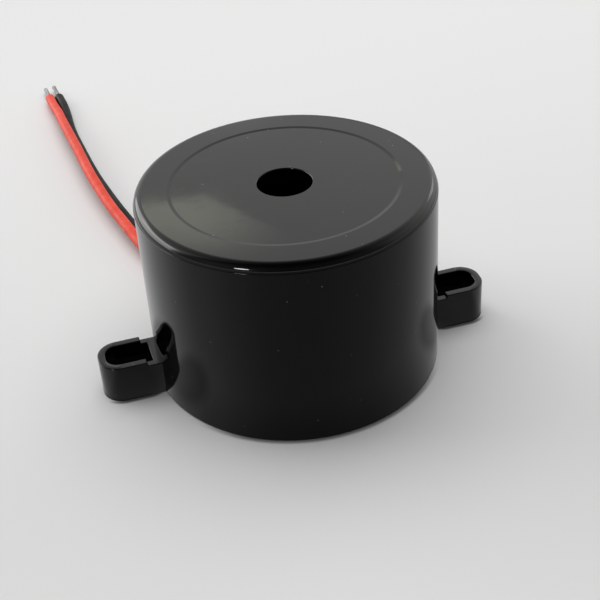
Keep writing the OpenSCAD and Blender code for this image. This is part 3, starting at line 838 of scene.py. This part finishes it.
red_pvc = make_insulation("red_pvc", rgb(0.66, 0.05, 0.028), rgb(0.76, 0.075, 0.04), low=0.42, high=0.55)
black_pvc = make_insulation("black_pvc", grey(0.004), grey(0.007), low=0.45, high=0.58)
blue_pvc = make_insulation("blue_pvc", rgb(0.02, 0.06, 0.4), rgb(0.03, 0.09, 0.5), low=0.3, high=0.42)
tinned_wire = make_metal("tinned_wire", rgb(0.62, 0.62, 0.63), rgb(0.78, 0.78, 0.79), low=0.22, high=0.42)
strands_tin = make_metal("strands_tin", grey(0.3), grey(0.42), low=0.45, high=0.6)
dress_piece(red_insulation, red_pvc)
dress_piece(black_insulation, black_pvc)
dress_piece(red_strands, strands_tin)
dress_piece(black_strands, strands_tin)
dress(["ground_wire"], black_pvc)
dress(["main_wire"], red_pvc)
dress(["feedback_wire"], blue_pvc)
dress([
    "choke_pins", "transistor_legs", "bias_resistor_wires", "feedback_resistor_wires",
    "input_diode_wires", "capacitor_legs", "lead_cores",
], tinned_wire)
print("wires finished")

# %% [markdown]
# ## The sounder disc
# The disc is thin rolled brass with a ceramic wafer. The wafer is cream and slightly speckled, and its silver
# electrodes are printed through a mesh and fired, which leaves them satin and faintly clouded. Brass from the
# press has fine rolling lines in one direction. The silicone round the edge is a milky rubber.

# %% Brass, ceramic, silver and silicone
def make_brass():
    finish = Finish("disc_brass", metallic=1.0)
    tree = finish.tree
    rolled = add_noise(tree, in_millimetres(tree, stretch=(0.3, 12, 1)), 1.0, detail=3)
    finish.colour(finish.effect(
        "mottle", Scale=0.35, Colour_A=rgb(0.72, 0.5, 0.2), Colour_B=rgb(0.82, 0.62, 0.3)))
    finish.roughness(add_range(tree, rolled, *PATCH_SPREAD, 0.24, 0.4))
    finish.bump(rolled, 0.002)
    return finish


def make_matt(name, colour_a, colour_b, low, high, scale, grain, depth, ior=1.5):
    finish = Finish(name, ior=ior)
    finish.colour(finish.effect("mottle", Scale=scale, Colour_A=colour_a, Colour_B=colour_b))
    finish.roughness(finish.effect("patches", Scale=scale, Low=low, High=high))
    finish.bump(finish.effect("grain", Scale=grain), depth)
    return finish


disc_brass = make_brass()
wafer = make_matt(
    "wafer_ceramic", rgb(0.74, 0.67, 0.5), rgb(0.85, 0.79, 0.64),
    low=0.55, high=0.75, scale=2.0, grain=10.0, depth=0.004)
silver_coat = make_metal(
    "silver_coat", rgb(0.7, 0.69, 0.66), rgb(0.86, 0.86, 0.85),
    low=0.38, high=0.55, scale=0.8, grain=6.0, depth=0.006)
solder = make_metal(
    "solder", rgb(0.5, 0.5, 0.51), rgb(0.72, 0.72, 0.73),
    low=0.18, high=0.36, scale=1.2, grain=2.5, depth=0.03)
silicone = make_matt(
    "silicone", rgb(0.72, 0.72, 0.68), rgb(0.82, 0.82, 0.79),
    low=0.3, high=0.45, scale=0.7, grain=2.0, depth=0.03, ior=1.41)
dress(["piezo_plate"], disc_brass)
dress(["piezo_ceramic"], wafer)
dress(["main_electrode", "feedback_electrode"], silver_coat)
dress(["disc_solder", "board_solder"], solder)
dress(["glue_bead"], silicone)
print("disc finished")

# %% [markdown]
# ## The driver board
# The board is brown phenolic paper, whose fibres show as short streaks in two directions. Its copper is a
# little tarnished. Each part on it has its own skin: dull ferrite, bright enamelled wire whose turns lie side
# by side, a wrinkled shrink sleeve, moulded epoxy, and dipped coats with a slight orange peel.

# %% Board, copper, choke
FIBRE_SPREAD = (0.45, 0.75)
TURNS_SCALE = 1.6
TURNS_UNEVEN = 0.6


def make_board_paper():
    finish = Finish("board_paper")
    tree = finish.tree
    along = add_noise(tree, in_millimetres(tree, stretch=(0.4, 5, 5)), 1.0)
    across = add_noise(tree, in_millimetres(tree, stretch=(5, 0.4, 5)), 1.0)
    fibres = add_math(tree, "MAXIMUM", along, across)
    share = add_range(tree, fibres, *FIBRE_SPREAD, 0.0, 1.0)
    finish.colour(add_mix(tree, share, rgb(0.42, 0.25, 0.09), rgb(0.6, 0.42, 0.2)))
    finish.roughness(finish.effect("patches", Scale=0.8, Low=0.4, High=0.55))
    finish.bump(fibres, 0.008)
    return finish


def make_winding():
    finish = Finish("enamelled_copper", metallic=1.0)
    tree = finish.tree
    turns = tree.nodes.new("ShaderNodeTexWave")
    turns.bands_direction = "Z"
    turns.inputs["Scale"].default_value = TURNS_SCALE
    turns.inputs["Distortion"].default_value = TURNS_UNEVEN
    tree.links.new(in_millimetres(tree), turns.inputs["Vector"])
    # Painted shade: the colour is dark in the grooves between the turns and copper-bright on their crowns.
    finish.colour(add_mix(tree, turns.outputs["Fac"], rgb(0.2, 0.06, 0.015), rgb(0.62, 0.26, 0.1)))
    finish.roughness(finish.effect("patches", Scale=1.5, Low=0.2, High=0.35))
    finish.bump(turns.outputs["Fac"], 0.06)
    return finish


board_paper = make_board_paper()
winding = make_winding()
copper = make_metal(
    "board_copper_foil", rgb(0.62, 0.3, 0.16), rgb(0.82, 0.48, 0.3),
    low=0.28, high=0.45, scale=0.9, grain=8.0, depth=0.004)
ferrite = make_matt(
    "ferrite", rgb(0.035, 0.035, 0.038), rgb(0.07, 0.07, 0.072),
    low=0.5, high=0.7, scale=3.0, grain=7.0, depth=0.02)
sleeve = make_matt(
    "shrink_sleeve", rgb(0.012, 0.04, 0.02), rgb(0.02, 0.06, 0.03),
    low=0.28, high=0.42, scale=0.5, grain=0.9, depth=0.06)
epoxy = make_matt(
    "transistor_epoxy", grey(0.012), grey(0.022), low=0.45, high=0.6, scale=2.0, grain=14.0, depth=0.008)
dipped = make_matt(
    "capacitor_dip", rgb(0.5, 0.17, 0.03), rgb(0.66, 0.26, 0.06),
    low=0.25, high=0.4, scale=0.9, grain=1.6, depth=0.04)
dress(["driver_board"], board_paper)
dress(["board_copper"], copper)
dress(["choke_core"], ferrite)
dress(["choke_winding"], winding)
dress(["choke_sleeve"], sleeve)
dress(["transistor_body"], epoxy)
dress(["capacitor_body"], dipped)
print("board finished")

# %% [markdown]
# Resistors carry coloured bands and the diode a pale one at its cathode. The bands run round the body, so
# their colour only depends on how far along the body a point is. The distance from one end, as a share of
# the body's length, goes through a colour ramp whose stops don't blend. Each band is given as its start, its
# width and its colour.

# %% Banded bodies
BAND_COLOURS = {
    "brown": (0.12, 0.04, 0.015), "black": (0.01, 0.01, 0.01), "red": (0.6, 0.03, 0.02),
    "yellow": (0.75, 0.5, 0.03), "violet": (0.16, 0.03, 0.3), "orange": (0.75, 0.2, 0.02),
    "gold": (0.5, 0.32, 0.08),
}
BAND_START = 0.1
BAND_STEP = 0.2
BAND_WIDTH = 0.09
CATHODE_BAND = (0.12, 0.14, (0.45, 0.45, 0.44))
BEIGE_COAT = (0.62, 0.47, 0.26)
DIODE_COAT = (0.012, 0.012, 0.012)


def make_banded(name, node, coat, bands, low, high):
    finish = Finish(name)
    tree = finish.tree
    start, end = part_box(node)
    ramp = tree.nodes.new("ShaderNodeValToRGB")
    ramp.color_ramp.interpolation = "CONSTANT"
    stops = ramp.color_ramp.elements
    stops[0].color = rgb(*coat)
    stops[1].position = 1.0
    stops[1].color = rgb(*coat)
    for position, width, colour in bands:
        stops.new(position).color = rgb(*colour)
        stops.new(position + width).color = rgb(*coat)
    along = add_split(tree, add_place(tree))["X"]
    tree.links.new(add_range(tree, along, start[0], end[0], 0.0, 1.0, "LINEAR"), ramp.inputs["Fac"])
    cloud = finish.effect("mottle", Scale=1.5, Colour_A=grey(0.85), Colour_B=grey(1))
    finish.colour(add_mix(tree, 1.0, ramp.outputs["Color"], cloud, "MULTIPLY"))
    finish.roughness(finish.effect("patches", Scale=1.2, Low=low, High=high))
    finish.bump(finish.effect("grain", Scale=2.5), 0.015)
    return finish


def bands_of(*names):
    return [(BAND_START + BAND_STEP * i, BAND_WIDTH, BAND_COLOURS[name]) for i, name in enumerate(names)]


for node, bands in (
    ("bias_resistor", bands_of("yellow", "violet", "orange", "gold")),
    ("feedback_resistor", bands_of("brown", "black", "red", "gold")),
):
    dress([node], make_banded(node + "_coat", node, BEIGE_COAT, bands, low=0.22, high=0.35))
dress(["input_diode"], make_banded(
    "diode_epoxy", "input_diode", DIODE_COAT, [CATHODE_BAND], low=0.35, high=0.5))
print("banded bodies finished")

# %% [markdown]
# ## The potting
# The underside is closed with poured black epoxy. It sets almost level, with a glossy skin, soft waves and a
# few pin holes where bubbles broke.

# %% Potting
PIT_DULLNESS = 0.3
PIT_DEPTH = 0.15
SKIN_WAVE_DEPTH = 0.12


def make_potting():
    finish = Finish("potting_epoxy")
    tree = finish.tree
    pits = finish.effect("dust", Scale=0.7, Size=0.22, Amount=0.12)
    finish.colour(finish.effect(
        "mottle", Scale=0.3, Colour_A=rgb(0.01, 0.01, 0.012), Colour_B=rgb(0.022, 0.022, 0.024)))
    gloss = finish.effect("patches", Scale=0.25, Low=0.1, High=0.28)
    finish.roughness(add_math(tree, "ADD", gloss, add_math(tree, "MULTIPLY", pits, PIT_DULLNESS)))
    wave = finish.bump(finish.effect("grain", Scale=0.22), SKIN_WAVE_DEPTH)
    finish.bump(add_math(tree, "MULTIPLY", pits, -1.0), PIT_DEPTH, below=wave)
    return finish


dress(["potting"], make_potting())
print("potting finished")

# %% [markdown]
# ## The floor
# The buzzer stands on a pale sweep, a little lighter at the back, which is painted light. Where the can and
# the ears meet it, a photo shows a thin dark line on the near side, so a contact shadow is painted into the
# floor's colour there. That painted shadow needs to know how far a place is from the ears' outline. Vector
# nodes work that out: leaving the signs off makes one corner of one ear stand for all eight, and what is past
# that corner's middle, less the corner's radius, is the gap.

# %% Distance from the ears
def add_vector_math(tree, operation, a, b=(0.0, 0.0, 0.0)):
    step = tree.nodes.new("ShaderNodeVectorMath")
    step.operation = operation
    feed(tree, a, step.inputs[0])
    feed(tree, b, step.inputs[1])
    return step.outputs["Value" if operation == "LENGTH" else "Vector"]


def add_ear_gap(tree, place):
    tip = EAR_SPAN / 2
    middle = in_metres(((tip + EAR_FROM) / 2, 0.0, 0.0))
    half = in_metres(((tip - EAR_FROM) / 2 - EAR_CORNER_RADIUS, EAR_WIDTH / 2 - EAR_CORNER_RADIUS, 0.0))
    beside = add_vector_math(tree, "SUBTRACT", add_vector_math(tree, "ABSOLUTE", place), middle)
    past = add_vector_math(tree, "SUBTRACT", add_vector_math(tree, "ABSOLUTE", beside), half)
    reach = add_vector_math(tree, "LENGTH", add_vector_math(tree, "MAXIMUM", past))
    return add_math(tree, "SUBTRACT", reach, EAR_CORNER_RADIUS * MM)


print("ear outline from", EAR_FROM, "to", EAR_SPAN / 2)

# %% [markdown]
# The floor is one plane. Each dark line of painted contact shadow has a strength, a reach over which it
# fades, and a range of Y over which it ends on the near side.

# %% Floor
FLOOR_SPAN = 2.4
FLOOR_FADE = (-30.0, 90.0)
FLOOR_NEAR = (0.66, 0.67)
# Painted light: the floor's colour at the back, lighter than at the front.
FLOOR_BACK_PAINTED_LIGHT = 0.735
FLOOR_CLOUDS = 0.02
FLOOR_ROUGHNESS = 0.9
# Painted contact shadow: the floor's colour is darkened in a thin line against the near side of the can's
# foot and of the ears' feet.
PAINTED_SHADOW_COLOUR = 0.02
CAN_PAINTED_SHADOW = {"strength": 0.72, "reach": (15.1, 15.6), "near": (-13.0, -7.0)}
EAR_PAINTED_SHADOW = {"strength": 0.85, "reach": (0.15, 0.55), "near": (-2.6, -1.6)}


# Painted shadow: a dark line that fades with distance from the foot and ends on the near side.
def add_painted_shadow(tree, distance, depth, strength, reach, near):
    line = add_range(tree, distance, *in_metres(reach), strength, 0.0)
    return add_math(tree, "MULTIPLY", line, add_range(tree, depth, *in_metres(near), 1.0, 0.0))


def add_floor():
    deselect_all()
    bpy.ops.mesh.primitive_plane_add(size=FLOOR_SPAN, location=(0, 0, 0))
    floor = bpy.context.object
    floor.name = "pale_floor"
    finish = Finish("pale_floor")
    tree = finish.tree
    place = add_place(tree)
    depth = add_split(tree, place)["Y"]
    paper = finish.effect(
        "mottle", Scale=FLOOR_CLOUDS, Colour_A=grey(FLOOR_NEAR[0]), Colour_B=grey(FLOOR_NEAR[1]))
    # Painted light: the floor's colour grows lighter towards the back.
    far = add_range(tree, depth, *in_metres(FLOOR_FADE), 0.0, 1.0)
    # Painted contact shadows along the near side of the can's foot and the ears' feet.
    can_painted_shadow = add_painted_shadow(tree, add_vector_math(tree, "LENGTH", place), depth, **CAN_PAINTED_SHADOW)
    ear_painted_shadow = add_painted_shadow(tree, add_ear_gap(tree, place), depth, **EAR_PAINTED_SHADOW)
    lines = add_math(tree, "MAXIMUM", can_painted_shadow, ear_painted_shadow)
    finish.colour(add_mix(tree, lines, add_mix(tree, far, paper, grey(FLOOR_BACK_PAINTED_LIGHT)), grey(PAINTED_SHADOW_COLOUR)))
    finish.shader.inputs["Roughness"].default_value = FLOOR_ROUGHNESS
    finish.shader.inputs["Specular IOR Level"].default_value = 0.0
    floor.data.materials.append(finish.material)
    return floor


floor = add_floor()
print("floor size in m:", FLOOR_SPAN)

# %% [markdown]
# ## The lamps
# Diffuse light comes from one wide lamp overhead, which glossy rays don't see, so it makes no white patch on
# the can. A second, small lamp does the opposite: only glossy rays see it, and it puts the one small
# highlight on the rounded edge.

# %% Lamps
LAMP_PLACE = (0.022, 0.06, 0.55)
LAMP_SPAN = 0.8
LAMP_POWER = 2.93
GLINT_AZIMUTH = math.radians(-132)
GLINT_ELEVATION = math.radians(20)
GLINT_DISTANCE = 0.5
GLINT_SPAN = 0.09
GLINT_POWER = 0.35


def add_lamp(name, place, span, power):
    data = bpy.data.lights.new(name, "AREA")
    data.shape = "DISK"
    data.size = span
    data.energy = power
    lamp = bpy.data.objects.new(name, data)
    lamp.location = place
    lamp.rotation_euler = (-Vector(place)).to_track_quat("-Z", "Y").to_euler()
    bpy.context.scene.collection.objects.link(lamp)
    return lamp


overhead = add_lamp("overhead", LAMP_PLACE, LAMP_SPAN, LAMP_POWER)
overhead.visible_glossy = False
glint_way = Vector((
    math.sin(GLINT_AZIMUTH) * math.cos(GLINT_ELEVATION),
    math.cos(GLINT_AZIMUTH) * math.cos(GLINT_ELEVATION),
    math.sin(GLINT_ELEVATION),
))
glint = add_lamp("glint", tuple(glint_way * GLINT_DISTANCE), GLINT_SPAN, GLINT_POWER)
glint.visible_diffuse = False
print("lamp power in watts:", round(overhead.data.energy, 2))

# %% [markdown]
# ## The room's reflections
# What a glossy black thing shows is mostly its surroundings. The world stands for the room: its brightness
# depends on the direction alone, as a level by azimuth times a level by elevation. It is bright low down
# behind the can, and dark overhead and on the near side. Azimuth is measured from +Y towards +X, and both
# angles are in degrees. A colour ramp turns a list of angles and levels into one smooth curve. A ramp can't
# go above 1, so each level is divided by the highest one first.

# %% Levels of the room
ROOM_BY_AZIMUTH = (
    (-180, 0.06), (-150, 0.08), (-110, 0.2), (-84, 0.3), (-78, 1.0), (-40, 1.05), (5, 0.9), (22, 0.95),
    (45, 1.05), (65, 1.0), (80, 0.8), (98, 0.6), (114, 0.4), (126, 0.18), (150, 0.1), (180, 0.06),
)
ROOM_BY_ELEVATION = (
    (-90, 0.35), (-34, 0.4), (-15, 0.7), (-3, 0.95), (8, 1.0), (33, 1.0), (41, 0.75), (50, 0.48), (63, 0.22),
    (75, 0.08), (90, 0.04),
)
ROOM_PEAK = 2.0


def add_levels(tree, angle, levels):
    low, high = levels[0][0], levels[-1][0]
    ramp = tree.nodes.new("ShaderNodeValToRGB")
    ramp.color_ramp.interpolation = "CARDINAL"
    stops = ramp.color_ramp.elements
    stops[0].color = grey(levels[0][1] / ROOM_PEAK)
    stops[1].color = grey(levels[-1][1] / ROOM_PEAK)
    for degrees, level in levels[1:-1]:
        stops.new((degrees - low) / (high - low)).color = grey(level / ROOM_PEAK)
    tree.links.new(add_range(tree, angle, low, high, 0.0, 1.0, "LINEAR"), ramp.inputs["Fac"])
    return ramp.outputs["Color"]


print("levels by azimuth:", len(ROOM_BY_AZIMUTH), "and by elevation:", len(ROOM_BY_ELEVATION))

# %% [markdown]
# Windows give the bright streaks on the rounded edge. A pane is a range of azimuth times a range of
# elevation, each with soft ends. One pane is darker than the wall round it, like a cupboard between the
# windows, and a faint one beside it lights the fine line round the dish at the right. One last bright patch
# has a corner in it: it is the shape that the flat top mirrors at its left.

# %% Windows and bright patch
# Each pane: how much brighter than the wall it is, its two azimuths and its two elevations
WINDOWS = (
    (2.1, (-78, -17), (-2, 34)), (1.6, (-74, -28), (16, 33)), (1.4, (41, 58), (14, 32)),
    (-0.5, (13.5, 38), (-8, 24)), (0.3, (8, 15), (17, 28.5)),
)
WINDOW_SOFTNESS = 4
SKY_PATCH_LEVEL = 0.88
SKY_PATCH_START = (1.0, 4.0)
SKY_PATCH_CORNER = (9.5, 30.0)
SKY_PATCH_SLOPE = 0.5
SKY_PATCH_EDGE = (-0.1, 0.15)
SKY_PATCH_END = (8.5, 14.5)
SKY_PATCH_TOP = (31.0, 34.0)
SKY_PATCH_TINT = (1.0, 1.0, 0.88)


def add_window(tree, azimuth, elevation, level, azimuths, elevations):
    mask = level
    for angle, (low, high) in ((azimuth, azimuths), (elevation, elevations)):
        rise = add_range(tree, angle, low, low + WINDOW_SOFTNESS, 0.0, 1.0)
        fall = add_range(tree, angle, high - WINDOW_SOFTNESS, high, 1.0, 0.0)
        mask = add_math(tree, "MULTIPLY", fall, add_math(tree, "MULTIPLY", rise, mask))
    return mask


def add_sky_patch(tree, azimuth, elevation):
    past = add_math(tree, "MAXIMUM", add_math(tree, "SUBTRACT", azimuth, SKY_PATCH_CORNER[0]), 0.0)
    edge = add_math(tree, "ADD", add_math(tree, "MULTIPLY", past, SKY_PATCH_SLOPE), SKY_PATCH_CORNER[1])
    above = add_range(tree, add_math(tree, "SUBTRACT", elevation, edge), *SKY_PATCH_EDGE, 0.0, 1.0)
    mask = add_math(tree, "MULTIPLY", above, add_range(tree, elevation, *SKY_PATCH_TOP, 1.0, 0.0))
    for turn, (low, high) in ((0.0, SKY_PATCH_START), (1.0, SKY_PATCH_END)):
        mask = add_math(tree, "MULTIPLY", mask, add_range(tree, azimuth, low, high, turn, 1.0 - turn))
    return mask


print("panes:", len(WINDOWS))

# %% [markdown]
# The world puts them together. Its own coordinates are the direction in which a ray leaves, so the azimuth
# and the elevation follow from the ray's X, Y and Z, and no picture of a room is needed.

# %% Room
ROOM_TINT = (1.0, 1.0, 0.985)


def make_room():
    world = bpy.data.worlds.new("room")
    bpy.context.scene.world = world
    world.use_nodes = True
    tree = world.node_tree
    background = tree.nodes["Background"]
    way = add_split(tree, tree.nodes.new("ShaderNodeTexCoord").outputs["Generated"])
    azimuth = add_math(tree, "DEGREES", add_math(tree, "ARCTAN2", way["X"], way["Y"]))
    elevation = add_math(tree, "DEGREES", add_math(tree, "ARCSINE", way["Z"]))
    by_azimuth = add_levels(tree, azimuth, ROOM_BY_AZIMUTH)
    by_elevation = add_levels(tree, elevation, ROOM_BY_ELEVATION)
    walls = add_mix(tree, 1.0, by_azimuth, by_elevation, "MULTIPLY")
    level = add_math(tree, "MULTIPLY", walls, ROOM_PEAK * ROOM_PEAK)
    for window in WINDOWS:
        level = add_math(tree, "ADD", level, add_window(tree, azimuth, elevation, *window))
    patch = add_sky_patch(tree, azimuth, elevation)
    level = add_math(tree, "ADD", level, add_math(tree, "MULTIPLY", patch, SKY_PATCH_LEVEL))
    feed(tree, add_mix(tree, patch, rgb(*ROOM_TINT), rgb(*SKY_PATCH_TINT)), background.inputs["Color"])
    feed(tree, level, background.inputs["Strength"])
    return world


room = make_room()
bpy.context.scene.view_settings.view_transform = "Standard"
print("nodes in the world:", len(room.node_tree.nodes))

# %% [markdown]
# The upright wall of the can mirrors the table round it. On the real table the near side looked darker from
# down there than from above. A flat ring on the floor stands for that: a circle of edges, extruded outwards
# once. Only glossy rays see it.

# %% What the wall mirrors
TABLE_SIDES = 96
TABLE_INNER = 15.1
TABLE_OUTER = 140.0
TABLE_LIFT = 0.05


def add_table_card():
    deselect_all()
    bpy.ops.mesh.primitive_circle_add(
        vertices=TABLE_SIDES, radius=TABLE_INNER * MM, fill_type="NOTHING", location=(0, 0, TABLE_LIFT * MM))
    card = bpy.context.object
    card.name = "table_card"
    bpy.ops.object.transform_apply(location=True)
    bpy.ops.object.mode_set(mode="EDIT")
    bpy.ops.mesh.select_all(action="SELECT")
    bpy.ops.mesh.extrude_region_move()
    share = TABLE_OUTER / TABLE_INNER
    bpy.ops.transform.resize(value=(share, share, 1), center_override=(0, 0, TABLE_LIFT * MM))
    bpy.ops.object.mode_set(mode="OBJECT")
    card.visible_camera = False
    card.visible_diffuse = False
    card.visible_shadow = False
    card.visible_transmission = False
    return card


table_card = add_table_card()
print("faces in the table card:", len(table_card.data.polygons))

# %% [markdown]
# A ray that leaves the wall at an azimuth of A from the camera's side lands further round, at up to 2A. So
# the place on the table is turned back into the wall's azimuth before it picks its level, and the reflection
# then stands upright on the wall. The table is darker close to the can and close to each ear, where they keep
# the light off it, and black inside the ears' slots.

# %% Levels of the table
TABLE_BY_WALL = (
    (-180, 0.56), (-96, 0.6), (-77, 0.75), (-64, 0.66), (-54, 0.545), (-43, 0.38), (-30, 0.31), (-16, 0.21),
    (0, 0.166), (17, 0.178), (35, 0.235), (52, 0.34), (66, 0.48), (96, 0.6), (180, 0.56),
)
CONTACT_SHADE = 0.62
CONTACT_RADIUS = (14.0, 22.0)
EAR_SHADE = 0.56
EAR_SHADE_CENTRE = (18.8, 5.3, 0.0)
EAR_SHADE_RADIUS = (2.6, 5.6)
SLOT_SHADE = 0.04
SLOT_SHADE_GAP = (-0.1, 0.3)


def add_wall_azimuth(tree, place, distance):
    turned = tree.nodes.new("ShaderNodeVectorRotate")
    turned.rotation_type = "Z_AXIS"
    turned.inputs["Angle"].default_value = -VIEW_AZIMUTH
    tree.links.new(place, turned.inputs["Vector"])
    way = add_split(tree, turned.outputs["Vector"])
    near = add_math(tree, "MULTIPLY", way["Y"], -1.0)
    azimuth = add_math(tree, "DEGREES", add_math(tree, "ARCTAN2", way["X"], near))
    past_wall = add_math(tree, "SUBTRACT", add_math(tree, "MULTIPLY", distance, 2.0), CAN_RADIUS * MM)
    return add_math(tree, "MULTIPLY", azimuth, add_math(tree, "DIVIDE", distance, past_wall))


def add_ear_distance(tree, place):
    folded = add_vector_math(tree, "ABSOLUTE", place)
    centre = in_metres(EAR_SHADE_CENTRE)
    return add_vector_math(tree, "LENGTH", add_vector_math(tree, "SUBTRACT", folded, centre))


def dress_table(card):
    material = bpy.data.materials.new("table_card")
    material.use_nodes = True
    tree = material.node_tree
    tree.nodes.remove(tree.nodes["Principled BSDF"])
    # The card glows for glossy rays only: a painted reflection of the table, with painted shade near the can,
    # round the ears and black in their slots.
    glow = tree.nodes.new("ShaderNodeEmission")
    place = add_place(tree)
    distance = add_vector_math(tree, "LENGTH", place)
    level = add_levels(tree, add_wall_azimuth(tree, place, distance), TABLE_BY_WALL)
    tree.links.new(level, glow.inputs["Color"])
    shade = ROOM_PEAK
    for gap, reach, darkest in (
        (distance, CONTACT_RADIUS, CONTACT_SHADE),
        (add_ear_distance(tree, place), EAR_SHADE_RADIUS, EAR_SHADE),
        (add_ear_gap(tree, place), SLOT_SHADE_GAP, SLOT_SHADE),
    ):
        shade = add_math(tree, "MULTIPLY", add_range(tree, gap, *in_metres(reach), darkest, 1.0), shade)
    tree.links.new(shade, glow.inputs["Strength"])
    tree.links.new(glow.outputs["Emission"], tree.nodes["Material Output"].inputs["Surface"])
    card.data.materials.append(material)


dress_table(table_card)
print("table levels:", len(TABLE_BY_WALL))
